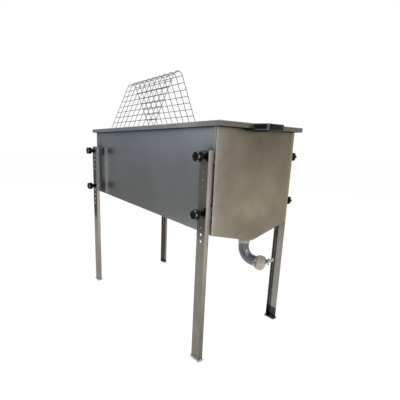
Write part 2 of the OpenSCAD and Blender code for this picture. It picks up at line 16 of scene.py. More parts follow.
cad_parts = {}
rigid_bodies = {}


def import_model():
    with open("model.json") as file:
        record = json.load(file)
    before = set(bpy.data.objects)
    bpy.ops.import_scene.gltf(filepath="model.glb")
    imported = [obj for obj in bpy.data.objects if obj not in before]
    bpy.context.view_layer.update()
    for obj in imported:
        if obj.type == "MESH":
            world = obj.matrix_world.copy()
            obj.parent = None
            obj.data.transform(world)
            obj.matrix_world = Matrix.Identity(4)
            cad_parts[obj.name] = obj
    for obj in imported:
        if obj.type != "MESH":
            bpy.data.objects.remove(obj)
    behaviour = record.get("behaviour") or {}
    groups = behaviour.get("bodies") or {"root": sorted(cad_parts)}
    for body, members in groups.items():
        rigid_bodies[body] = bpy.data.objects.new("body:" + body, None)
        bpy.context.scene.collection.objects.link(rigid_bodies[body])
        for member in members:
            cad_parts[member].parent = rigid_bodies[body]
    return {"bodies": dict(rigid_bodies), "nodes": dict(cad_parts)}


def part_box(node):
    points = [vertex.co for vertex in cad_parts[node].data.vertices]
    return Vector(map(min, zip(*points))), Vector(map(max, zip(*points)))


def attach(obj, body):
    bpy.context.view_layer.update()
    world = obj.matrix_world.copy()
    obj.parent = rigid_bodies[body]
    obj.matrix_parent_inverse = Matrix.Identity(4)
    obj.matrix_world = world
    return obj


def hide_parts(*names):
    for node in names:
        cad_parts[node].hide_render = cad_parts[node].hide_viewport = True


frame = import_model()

log = logging.getLogger("uncapping_tank")

Socket = bpy.types.NodeSocket
Mesh = bmesh.types.BMesh
Vert = bmesh.types.BMVert
Edge = bmesh.types.BMEdge
Face = bmesh.types.BMFace
Colour = tuple[float, float, float]
Pair = tuple[float, float]
Relief = tuple[float, float, Socket]
Input = Socket | float | tuple[float, ...]
Shades = tuple[tuple[float, Colour], ...]
Outline = Callable[[float, float], float]

MM = 0.001
MERGE_DISTANCE = 0.01 * MM
FLAT_ANGLE = math.radians(0.4)
SHARP_ANGLE = math.radians(32)
EDGE_SEGMENTS = 2
# Mesh attribute for worn edges that also carry a painted glint.
WEAR_AND_GLINT_LAYER = "edge_wear_and_glint"
SIGNS = (-1, 1)
UP = Vector((0, 0, 1))
EVEN = (1.0, 1.0)
SHARE = (0.0, 1.0)
NOISE_SPAN = (0.3, 0.7)
END_FACING = (0.3, 0.8)
UP_FACING = (0.3, 0.5)
INWARD_SPAN = (-0.02, 0.02)
WHITE = (1.0, 1.0, 1.0, 1.0)

# Places of the two colours and of the result among a colour mix node's sockets
MIX_FIRST = 6
MIX_SECOND = 7
MIX_RESULT = 2


class Axis(Enum):
    """The frame's axes, as the directions that a sheet is brushed and a place is measured along."""

    X = (1, 0, 0)
    Y = (0, 1, 0)
    Z = (0, 0, 1)


class Corner(Enum):
    """Leg corners, each with the side of the tank that it stands on."""

    NEAR_DRAIN = ("near_drain", -1)
    NEAR_BACK = ("near_back", -1)
    FAR_BACK = ("far_back", 1)
    FAR_DRAIN = ("far_drain", 1)

    @property
    def label(self) -> str:
        """The corner's name within its nodes' names."""
        return self.value[0]

    @property
    def outward(self) -> int:
        """Sign of the Y direction that faces away from the tank."""
        return self.value[1]


class Level(Enum):
    """The two knobs of a leg."""

    UPPER = "upper"
    LOWER = "lower"


def rgba(colour: Colour, gain: float = 1.0) -> tuple[float, float, float, float]:
    """A colour times a gain, with full alpha."""
    return (colour[0] * gain, colour[1] * gain, colour[2] * gain, 1.0)


def around(middle: float, offsets: Pair) -> Pair:
    """A range about a middle."""
    return (middle + offsets[0], middle + offsets[1])


class NodeTree:
    """Short calls for building the node tree of one material or world."""

    def __init__(self, owner: bpy.types.Material | bpy.types.World) -> None:
        """Empty the owner's tree.

        Args:
            owner: The material or world.
        """
        owner.use_nodes = True
        self.owner = owner
        self.tree = owner.node_tree
        self.tree.nodes.clear()

    def add(self, kind: str, *values: Input, **named) -> bpy.types.Node:
        """Add a node, fill its first inputs in order, and set what is named.

        Args:
            kind: The node's type name.
            values: Values or sockets for its first inputs.
            named: Its settings in small letters, and inputs with a capital and with underscores.

        Returns:
            The new node.
        """
        node = self.tree.nodes.new(kind)
        for key, value in named.items():
            if key[0].isupper():
                self.feed(node.inputs[key.replace("_", " ")], value)
            else:
                setattr(node, key, value)
        for socket, value in zip(node.inputs, values):
            self.feed(socket, value)
        return node

    def feed(self, socket: Socket, value: Input) -> None:
        """Link a socket into an input, or set the input's own value.

        Args:
            socket: The input.
            value: What goes into it.
        """
        if isinstance(value, Socket):
            self.tree.links.new(value, socket)
        else:
            socket.default_value = value

    def math(self, operation: str, first: Input, second: Input = 0.0) -> Socket:
        """Combine two numbers or sockets with a maths node."""
        return self.add("ShaderNodeMath", first, second, operation=operation).outputs[0]

    def noise(self, place: Socket, scale: float = 1.0, detail: float = 3.0, rough: float = 0.5) -> Socket:
        """A noise value over a place."""
        node = self.add("ShaderNodeTexNoise", Vector=place, Scale=scale, Detail=detail, Roughness=rough)
        return node.outputs["Fac"]

    def spread(self, value: Socket, results: Pair, span: Pair = NOISE_SPAN) -> Socket:
        """Map a value from a span, which is a noise's usual one if none is given, to a range of results."""
        return self.add("ShaderNodeMapRange", value, *span, *results).outputs[0]

    def mix(self, share: Input, first: Input, second: Input) -> Socket:
        """Mix two colours.

        Args:
            share: Share of the second colour.
            first: The first colour.
            second: The second colour.

        Returns:
            The mixed colour.
        """
        node = self.add("ShaderNodeMix", share, data_type="RGBA")
        self.feed(node.inputs[MIX_FIRST], first)
        self.feed(node.inputs[MIX_SECOND], second)
        return node.outputs[MIX_RESULT]

    def gained(self, colour: Input, gain: Input) -> Socket:
        """A colour times a gain."""
        return self.add("ShaderNodeHueSaturation", Color=colour, Value=gain).outputs[0]

    def ramp(self, value: Socket, shades: Shades) -> Socket:
        """Blend between colours along a value.

        Args:
            value: The value, from zero to one.
            shades: Each colour with the value that it stands at, in rising order.

        Returns:
            The blended colour.
        """
        node = self.add("ShaderNodeValToRGB", Fac=value)
        elements = node.color_ramp.elements
        for element, (place, colour) in zip(elements, (shades[0], shades[-1])):
            element.position = place
            element.color = rgba(colour)
        for place, colour in shades[1:-1]:
            elements.new(place).color = rgba(colour)
        return node.outputs[0]

    def place(self, stretch: Colour = (1.0, 1.0, 1.0), turn: float = 0.0) -> Socket:
        """Find a point in object coordinates.

        Args:
            stretch: Scale of the pattern along each axis, in cycles per metre.
            turn: Turn about the Y axis, in radians.

        Returns:
            The mapped coordinates.
        """
        coords = self.add("ShaderNodeTexCoord").outputs["Object"]
        node = self.add("ShaderNodeMapping", Vector=coords, Scale=stretch, Rotation=(0.0, turn, 0.0))
        return node.outputs[0]

    def part(self, vector: Socket, axis: Axis) -> Socket:
        """A vector's part along one axis."""
        return self.add("ShaderNodeSeparateXYZ", vector).outputs[axis.value.index(1)]

    def coordinate(self, axis: Axis) -> Socket:
        """A point's coordinate along one axis."""
        return self.part(self.place(), axis)

    def past(self, axis: Axis, start: float, blur: float) -> Socket:
        """One where a point lies further along an axis than a start, with a soft border."""
        return self.spread(self.coordinate(axis), SHARE, (start - blur, start + blur))

    def normal(self) -> Socket:
        """Direction that a face looks in."""
        return self.add("ShaderNodeNewGeometry").outputs["True Normal"]

    def facing_ends(self) -> Socket:
        """One on faces that look along X, zero on faces that look along Y or Z."""
        return self.spread(self.math("ABSOLUTE", self.part(self.normal(), Axis.X)), SHARE, END_FACING)

    def facing_up(self) -> Socket:
        """One on faces that look up, zero on upright faces."""
        return self.spread(self.part(self.normal(), Axis.Z), SHARE, UP_FACING)

    def facing_in(self) -> Socket:
        """One on upright faces that look towards the tank's middle, else zero."""
        dot = self.add("ShaderNodeVectorMath", self.normal(), self.place(), operation="DOT_PRODUCT")
        return self.spread(dot.outputs["Value"], (1.0, 0.0), INWARD_SPAN)

    def painted_crevice_shade(self, reach: float, darkest: float, span: Pair) -> Socket:
        """Painted shade: brightness that falls off in narrow gaps, where less light reaches.

        Args:
            reach: Distance within which other faces count as near.
            darkest: Brightness at the bottom of a closed gap.
            span: How open a point is at the darkest value, and where it is fully bright.

        Returns:
            A factor from the darkest value up to one.
        """
        openness = self.add("ShaderNodeAmbientOcclusion", samples=6, Distance=reach).outputs["AO"]
        return self.spread(openness, (darkest, 1.0), span)

    def principled(self, colour: Socket, rough: Socket, relief: Relief, **others) -> Socket:
        """Add the shader of a solid surface with a fine relief.

        Args:
            colour: Its base colour.
            rough: Its roughness.
            relief: The relief's strength, depth and height.
            others: More of the shader's inputs.

        Returns:
            The shader.
        """
        strength, depth, height = relief
        bump = self.add("ShaderNodeBump", Strength=strength, Distance=depth, Height=height).outputs[0]
        inputs = {"Base_Color": colour, "Roughness": rough, "Normal": bump}
        return self.add("ShaderNodeBsdfPrincipled", **inputs, **others).outputs[0]

    def surface(self, shader: Socket) -> bpy.types.Material | bpy.types.World:
        """Send a shader to the owner's output.

        Args:
            shader: The finished shader.

        Returns:
            The owner.
        """
        world = isinstance(self.owner, bpy.types.World)
        self.add("ShaderNodeOutputWorld" if world else "ShaderNodeOutputMaterial", shader)
        return self.owner


@dataclass(frozen=True)
class Finish:
    """A surface's finish. Each kind says how its shader is made."""

    name: str
    colour: Colour

    @cache
    def material(self) -> bpy.types.Material:
        """Build the finish's material, once."""
        nodes = NodeTree(bpy.data.materials.new(self.name))
        return nodes.surface(self.shader(nodes))

    def shader(self, nodes: NodeTree) -> Socket:
        """Build the finish's shader in a material's tree."""
        raise NotImplementedError

    def tone(self, nodes: NodeTree, value: Socket, gains: Pair) -> Socket:
        """The finish's colour between two gains, by a noise value."""
        low, high = gains
        return nodes.mix(nodes.spread(value, SHARE), rgba(self.colour, low), rgba(self.colour, high))


@dataclass(frozen=True)
class SteelSheet(Finish):
    """Satin stainless sheet: fine brush lines, cloudy sheen, a few scratches and handling marks."""

    roughness: float = 0.3
    brush: Axis = Axis.X
    lines_across: float = 900.0
    lines_along: float = 7.0
    line_share: float = 0.03
    line_gain: float = 1.35
    line_roughness: Pair = (-0.01, 0.015)
    cloud: float = 0.08
    cloud_scale: float = 4.0
    marks: float = 0.05
    mark_scale: float = 21.0
    mark_gain: float = 0.7
    mark_span: Pair = (0.5, 0.75)
    mark_roughness: Pair = (-0.012, 0.028)
    scratches_across: float = 420.0
    scratches_along: float = 9.0
    scratch_turn: float = 0.35
    scratch_share: float = 0.08
    scratch_gain: float = 1.5
    scratch_span: Pair = (0.69, 0.74)
    relief: float = 0.03
    relief_depth: float = 0.03 * MM
    # Painted shade in crevices and gaps: darkest brightness, colour gain there, reach and openness span.
    crevice_shade_darkest: float = 0.25
    crevice_shade_gain: float = 0.12
    crevice_shade_reach: float = 40 * MM
    crevice_shade_span: Pair = (0.42, 0.86)
    # Painted light and shade by place: brightness gains between two places along an axis.
    painted_light_axis: Axis = Axis.X
    gains: Pair = EVEN
    painted_light_span: Pair = (-20 * MM, 20 * MM)
    # Painted light: gain on faces that look into the tank, which also skip the painted crevice shade.
    painted_inner_light: float = 1.0
    # Painted light and shade on faces that look along X: gains from low to high.
    painted_side_light: Pair = EVEN
    side_light_span: Pair = (100 * MM, 500 * MM)
    # Painted highlight on faces that look up.
    painted_top_highlight: float = 1.0
    # Painted highlight: a lighter, yellower band past a Y place, along a sheet's corner.
    painted_corner_highlight: float = 0.0
    corner_highlight_blur: float = 6 * MM
    corner_highlight_colour: Colour = (0.50, 0.465, 0.31)
    # Painted shade: a dark band up to a height at a leg's foot, with its blur, share and colour.
    painted_foot_shade: float = 0.0
    foot_shade_blur: float = 3 * MM
    foot_shade_share: float = 0.9
    foot_shade_colour: Colour = (0.028, 0.034, 0.042)

    def shader(self, nodes: NodeTree) -> Socket:
        """Lay the sheet's brush lines, marks and scratches over each other.

        Args:
            nodes: The material's tree.

        Returns:
            The shader.
        """
        along = Vector(self.brush.value)
        across = Vector((1, 1, 1)) - along
        grain_stretch = tuple(along * self.lines_along + across * self.lines_across)
        grain = nodes.noise(nodes.place(grain_stretch), detail=4.0, rough=0.65)
        marks = nodes.noise(nodes.place(), self.mark_scale, detail=7.0, rough=0.6)
        scratch_stretch = tuple(along * self.scratches_along + across * self.scratches_across)
        scratches = nodes.noise(nodes.place(scratch_stretch, self.scratch_turn), detail=2.0)
        scratch = nodes.spread(scratches, SHARE, self.scratch_span)
        worked = self.worked(nodes, grain, marks, scratch)
        lined = nodes.spread(grain, around(self.roughness, self.line_roughness))
        rough = nodes.math("ADD", lined, nodes.spread(marks, self.mark_roughness))
        relief = (self.relief, self.relief_depth, nodes.math("ADD", grain, scratch))
        return nodes.principled(self.by_place(nodes, worked), rough, relief, Metallic=1.0)

    def worked(self, nodes: NodeTree, grain: Socket, marks: Socket, scratch: Socket) -> Socket:
        """Colour of the clean sheet.

        Args:
            nodes: The material's tree.
            grain: The brush lines.
            marks: The handling marks.
            scratch: One on a scratch, else zero.

        Returns:
            The colour.
        """
        cloud = nodes.noise(nodes.place(), self.cloud_scale, detail=2.0)
        sheen = self.tone(nodes, cloud, around(1.0, (-self.cloud, self.cloud)))
        marked = nodes.spread(marks, (0.0, self.marks), self.mark_span)
        handled = nodes.mix(marked, sheen, rgba(self.colour, self.mark_gain))
        brushed = nodes.spread(grain, (0.0, self.line_share))
        lined = nodes.mix(brushed, handled, rgba(self.colour, self.line_gain))
        scored = nodes.math("MULTIPLY", scratch, self.scratch_share)
        return nodes.mix(scored, lined, rgba(self.colour, self.scratch_gain))

    def by_place(self, nodes: NodeTree, clean: Socket) -> Socket:
        """Paint shade into the crevices, and paint light, shade and highlights where the finish says so.

        Args:
            nodes: The material's tree.
            clean: Colour of the clean sheet.

        Returns:
            The colour.
        """
        # Painted shade: darker where other faces are near.
        open_share = nodes.painted_crevice_shade(self.crevice_shade_reach, self.crevice_shade_darkest, self.crevice_shade_span)
        tone = nodes.mix(open_share, rgba(self.colour, self.crevice_shade_gain), clean)
        # Painted highlight along the corner band.
        if self.painted_corner_highlight:
            band = nodes.past(Axis.Y, self.painted_corner_highlight, self.corner_highlight_blur)
            tone = nodes.mix(band, tone, rgba(self.corner_highlight_colour))
        # Painted light and shade: lighter or darker by place.
        if self.gains != EVEN:
            place = nodes.coordinate(self.painted_light_axis)
            tone = nodes.gained(tone, nodes.spread(place, self.gains, self.painted_light_span))
        # Painted light on faces that look into the tank.
        if self.painted_inner_light != 1.0:
            tone = nodes.mix(nodes.facing_in(), tone, nodes.gained(clean, self.painted_inner_light))
        # Painted light and shade on end-facing faces, by height.
        if self.painted_side_light != EVEN:
            gain = nodes.spread(nodes.coordinate(Axis.Z), self.painted_side_light, self.side_light_span)
            tone = nodes.mix(nodes.facing_ends(), tone, nodes.gained(tone, gain))
        # Painted highlight on upward faces.
        if self.painted_top_highlight != 1.0:
            tone = nodes.mix(nodes.facing_up(), tone, nodes.gained(tone, self.painted_top_highlight))
        # Painted shade at the foot.
        if self.painted_foot_shade:
            above = nodes.past(Axis.Z, self.painted_foot_shade, self.foot_shade_blur)
            share = nodes.spread(above, (self.foot_shade_share, 0.0), SHARE)
            tone = nodes.mix(share, tone, rgba(self.foot_shade_colour))
        return tone


@dataclass(frozen=True)
class PolishedPipe(Finish):
    """Drawn and polished pipe with haze and faint lines."""

    roughness: float
    haze_scale: float = 26.0
    haze_gains: Pair = (0.94, 1.05)
    haze_roughness: Pair = (0.0, 0.03)
    line_stretch: Colour = (500.0, 40.0, 500.0)
    line_roughness: Pair = (0.0, 0.02)
    relief: float = 0.1
    relief_depth: float = 0.01 * MM

    def shader(self, nodes: NodeTree) -> Socket:
        """Haze the pipe and draw its lines.

        Args:
            nodes: The material's tree.

        Returns:
            The shader.
        """
        haze = nodes.noise(nodes.place(), self.haze_scale, detail=4.0)
        lines = nodes.noise(nodes.place(self.line_stretch))
        hazed = nodes.spread(haze, around(self.roughness, self.haze_roughness))
        rough = nodes.math("ADD", hazed, nodes.spread(lines, self.line_roughness))
        relief = (self.relief, self.relief_depth, lines)
        return nodes.principled(self.tone(nodes, haze, self.haze_gains), rough, relief, Metallic=1.0)


@dataclass(frozen=True)
class TurnedSteel(Finish):
    """Face turned on a lathe: fine rings about an axis along X, with a soft sheen."""

    centre: Colour
    roughness: float = 0.26
    rings: float = 620.0
    ring_share: float = 0.15
    ring_gain: float = 1.4
    ring_waver: float = 1.5
    haze_scale: float = 60.0
    haze_gains: Pair = (0.88, 1.1)
    haze_roughness: Pair = (-0.04, 0.08)
    relief: float = 0.1
    relief_depth: float = 0.03 * MM

    def shader(self, nodes: NodeTree) -> Socket:
        """Turn rings about the centre and haze them.

        Args:
            nodes: The material's tree.

        Returns:
            The shader.
        """
        coords = nodes.add("ShaderNodeTexCoord").outputs["Object"]
        away = tuple(-value for value in self.centre)
        centred = nodes.add("ShaderNodeMapping", Vector=coords, Location=away).outputs[0]
        rings = nodes.add(
            "ShaderNodeTexWave", centred, wave_type="RINGS", rings_direction="X",
            Scale=self.rings, Distortion=self.ring_waver, Detail=2.0,
        ).outputs["Fac"]
        haze = nodes.noise(coords, self.haze_scale, detail=6.0)
        share = nodes.math("MULTIPLY", rings, self.ring_share)
        tone = self.tone(nodes, haze, self.haze_gains)
        ringed = nodes.mix(share, tone, rgba(self.colour, self.ring_gain))
        rough = nodes.spread(haze, around(self.roughness, self.haze_roughness))
        return nodes.principled(ringed, rough, (self.relief, self.relief_depth, rings), Metallic=1.0)


@dataclass(frozen=True)
class WeldSteel(Finish):
    """Weld bead: dull, with straw and blue heat tint."""

    straw: Colour = (0.30, 0.22, 0.12)
    straw_shares: Pair = (0.0, 0.4)
    straw_span: Pair = (0.45, 0.7)
    blue: Colour = (0.10, 0.12, 0.17)
    blue_shares: Pair = (0.25, 0.0)
    blue_span: Pair = (0.3, 0.45)
    roughness: Pair = (0.42, 0.56)
    heat_scale: float = 140.0
    skin_scale: float = 900.0
    relief: float = 0.15
    relief_depth: float = 0.3 * MM

    def shader(self, nodes: NodeTree) -> Socket:
        """Tint the bead by its heat.

        Args:
            nodes: The material's tree.

        Returns:
            The shader.
        """
        heat = nodes.noise(nodes.place(), self.heat_scale)
        skin = nodes.noise(nodes.place(), self.skin_scale, detail=4.0)
        straw_share = nodes.spread(heat, self.straw_shares, self.straw_span)
        warm = nodes.mix(straw_share, rgba(self.colour), rgba(self.straw))
        blue_share = nodes.spread(heat, self.blue_shares, self.blue_span)
        tinted = nodes.mix(blue_share, warm, rgba(self.blue))
        relief = (self.relief, self.relief_depth, skin)
        return nodes.principled(tinted, nodes.spread(skin, self.roughness), relief, Metallic=1.0)


@dataclass(frozen=True)
class MouldedPlastic(Finish):
    """Glossy black moulding with a fine moulded grain, light dust, and worn edges that also carry a painted
    glint.
    """

    roughness: float
    bend: float
    grain: float = 0.05
    grain_scale: float = 1600.0
    grain_depth: float = 0.1 * MM
    patch_scale: float = 70.0
    patch_roughness: Pair = (-0.04, 0.12)
    dust: Colour = (0.014, 0.014, 0.015)
    dust_shares: Pair = (0.0, 0.35)
    dust_span: Pair = (0.5, 0.75)
    # Worn edges with a painted glint: their colour, and their share by patches.
    worn_glint: Colour = (0.13, 0.137, 0.145)
    worn_glint_shares: Pair = (0.6, 1.0)

    def shader(self, nodes: NodeTree) -> Socket:
        """Dust the moulding, and paint its marked edges bright: wear with a painted glint.

        Args:
            nodes: The material's tree.

        Returns:
            The shader.
        """
        grain = nodes.noise(nodes.place(), self.grain_scale, detail=2.0)
        patches = nodes.noise(nodes.place(), self.patch_scale, detail=6.0, rough=0.6)
        dust_share = nodes.spread(patches, self.dust_shares, self.dust_span)
        dusty = nodes.mix(dust_share, rgba(self.colour), rgba(self.dust))
        # Worn edges, marked on the mesh, with a painted glint.
        rubbed_glint = nodes.add("ShaderNodeAttribute", attribute_name=WEAR_AND_GLINT_LAYER).outputs["Fac"]
        share = nodes.math("MULTIPLY", rubbed_glint, nodes.spread(patches, self.worn_glint_shares))
        tone = nodes.mix(share, dusty, rgba(self.worn_glint))
        rough = nodes.spread(patches, around(self.roughness, self.patch_roughness))
        return nodes.principled(tone, rough, (self.grain, self.grain_depth, grain), IOR=self.bend)


@dataclass(frozen=True)
class SealRubber(Finish):
    """Pale soft rubber with a matt skin."""

    skin_scale: float = 700.0
    skin_gains: Pair = (0.9, 1.05)
    roughness: Pair = (0.55, 0.7)
    relief: float = 0.1
    relief_depth: float = 0.2 * MM

    def shader(self, nodes: NodeTree) -> Socket:
        """Give the rubber its skin.

        Args:
            nodes: The material's tree.

        Returns:
            The shader.
        """
        skin = nodes.noise(nodes.place(), self.skin_scale, detail=4.0)
        relief = (self.relief, self.relief_depth, skin)
        rough = nodes.spread(skin, self.roughness)
        return nodes.principled(self.tone(nodes, skin, self.skin_gains), rough, relief)


# Wall: a colour darker than bare stainless, painted shade for dark surroundings in reflection, with painted
# light on inner faces and painted crevice shade.
WALL_STEEL = SteelSheet(
    "wall_steel", (0.31, 0.326, 0.332), roughness=0.23,
    crevice_shade_darkest=0.05, crevice_shade_reach=70 * MM, crevice_shade_span=(0.6, 0.9), painted_inner_light=1.75,
)
# End panels: the same steel tinted warm, a painted reflection of warm surroundings, with a painted corner
# highlight and painted light on inner faces.
END_STEEL = SteelSheet(
    "end_steel", (0.36, 0.338, 0.296), roughness=0.19, brush=Axis.Y, cloud=0.2, cloud_scale=7.0,
    painted_corner_highlight=204 * MM, painted_inner_light=1.6,
)
INSIDE_STEEL = SteelSheet("inside_steel", (0.50, 0.505, 0.505), roughness=0.28)
# Rim: painted light and shade, lighter along most of its length and darker towards the drain end.
RIM_STEEL = SteelSheet(
    "rim_steel", (0.257, 0.259, 0.238), roughness=0.14, gains=(1.8, 0.88), painted_light_span=(200 * MM, 420 * MM),
)
# Rim ends: the rim's steel tinted lighter and warmer, a painted reflection like the end panels.
RIM_END_STEEL = SteelSheet("rim_end_steel", (0.37, 0.36, 0.335), roughness=0.14, brush=Axis.Y)
# Legs: three copies of one steel, tinted lighter or darker by corner as painted light and shade. This one
# adds painted light on end-facing faces and a painted top highlight.
LEG_STEEL = SteelSheet(
    "leg_steel", (0.205, 0.188, 0.163), roughness=0.14, brush=Axis.Z, cloud=0.12, cloud_scale=9.0,
    painted_side_light=(0.78, 1.9), painted_top_highlight=4.5,
)
# Back legs: a darker copy, painted shade, with painted light on end-facing faces.
BACK_LEG_STEEL = SteelSheet(
    "back_leg_steel", (0.172, 0.157, 0.132), roughness=0.14, brush=Axis.Z, cloud=0.1, cloud_scale=9.0,
    painted_side_light=(1.4, 2.4), crevice_shade_darkest=0.9,
)
# Far drain leg: a lighter copy, painted light, with painted shade at its foot.
FAR_LEG_STEEL = SteelSheet(
    "far_leg_steel", (0.24, 0.231, 0.205), roughness=0.14, brush=Axis.Z, cloud=0.12, cloud_scale=9.0,
    painted_foot_shade=52 * MM,
)
# Brackets: painted shade, the drain end's brackets darker.
BRACKET_STEEL = SteelSheet(
    "bracket_steel", (0.46, 0.45, 0.42), roughness=0.35, brush=Axis.Z, crevice_shade_darkest=0.3, gains=(1.0, 0.4),
)
FOOT_STEEL = SteelSheet("foot_steel", (0.62, 0.62, 0.61), roughness=0.24, lines_across=500.0, crevice_shade_darkest=0.85)
# Painted shade: a dark copy of the foot steel for the far drain foot.
FOOT_SHADE_COLOUR = (0.10, 0.108, 0.12)
FOOT_SHADE_STEEL = SteelSheet("foot_shade_steel", FOOT_SHADE_COLOUR, roughness=0.24, lines_across=500.0, crevice_shade_darkest=0.85)
FASTENER_STEEL = SteelSheet("fastener_steel", (0.42, 0.42, 0.42), roughness=0.2)
# Pipe: polished steel darkened to navy, painted shade for dark surroundings in reflection.
PIPE_STEEL = PolishedPipe("pipe_steel", (0.165, 0.174, 0.2), roughness=0.38)
RING_STEEL = PolishedPipe("ring_steel", (0.34, 0.325, 0.28), roughness=0.2)
GATE_CENTRE = tuple(sum(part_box("gate_seal"), Vector()) / 2)
GATE_STEEL = TurnedSteel("gate_steel", (0.40, 0.365, 0.325), GATE_CENTRE)
WELD_STEEL = WeldSteel("weld_steel", (0.62, 0.60, 0.56))
# Painted shade: a darker copy of the weld for the drain end's stitches.
SHADED_STITCH_WELD = WeldSteel("shaded_stitch_weld_steel", (0.22, 0.21, 0.19))
# Painted shade: a dark copy of the weld for the far drain foot.
FOOT_SHADE_WELD = WeldSteel("foot_shade_weld", FOOT_SHADE_COLOUR)
# Wire: painted shade, darker on the far side.
WIRE_STEEL = SteelSheet(
    "wire_steel", (0.11, 0.114, 0.118), roughness=0.26, lines_across=400.0, relief=0.02, crevice_shade_darkest=0.8,
    painted_light_axis=Axis.Y, gains=(1.0, 0.55),
)
# Plastics: their worn edges also carry a painted glint, brighter on the knobs.
HANDLE_PLASTIC = MouldedPlastic("handle_plastic", (0.006, 0.006, 0.007), roughness=0.16, bend=1.36)
KNOB_PLASTIC = MouldedPlastic(
    "knob_plastic", (0.004, 0.004, 0.0045), roughness=0.1, bend=1.2, grain=0.01, worn_glint=(0.22, 0.23, 0.245),
)
SEAL_SKIN = SealRubber("seal_rubber", (0.52, 0.49, 0.42))


def placed(name: str, data: bpy.types.ID) -> bpy.types.Object:
    """Put a new object with its data into the scene.

    Args:
        name: The object's name.
        data: Its mesh, camera or light.

    Returns:
        The object.
    """
    obj = bpy.data.objects.new(name, data)
    bpy.context.scene.collection.objects.link(obj)
    return obj


def meshed(name: str, mesh: Mesh, material: bpy.types.Material) -> bpy.types.Object:
    """Put a mesh of one material into the scene and free it.

    Args:
        name: The object's name.
        mesh: The mesh.
        material: Its material.

    Returns:
        The object.
    """
    data = bpy.data.meshes.new(name)
    mesh.to_mesh(data)
    mesh.free()
    data.materials.clear()
    data.materials.append(material)
    return placed(name, data)


def only(kind: type, items: list) -> list:
    """The points, edges or faces among what an operator made."""
    return [item for item in items if isinstance(item, kind)]


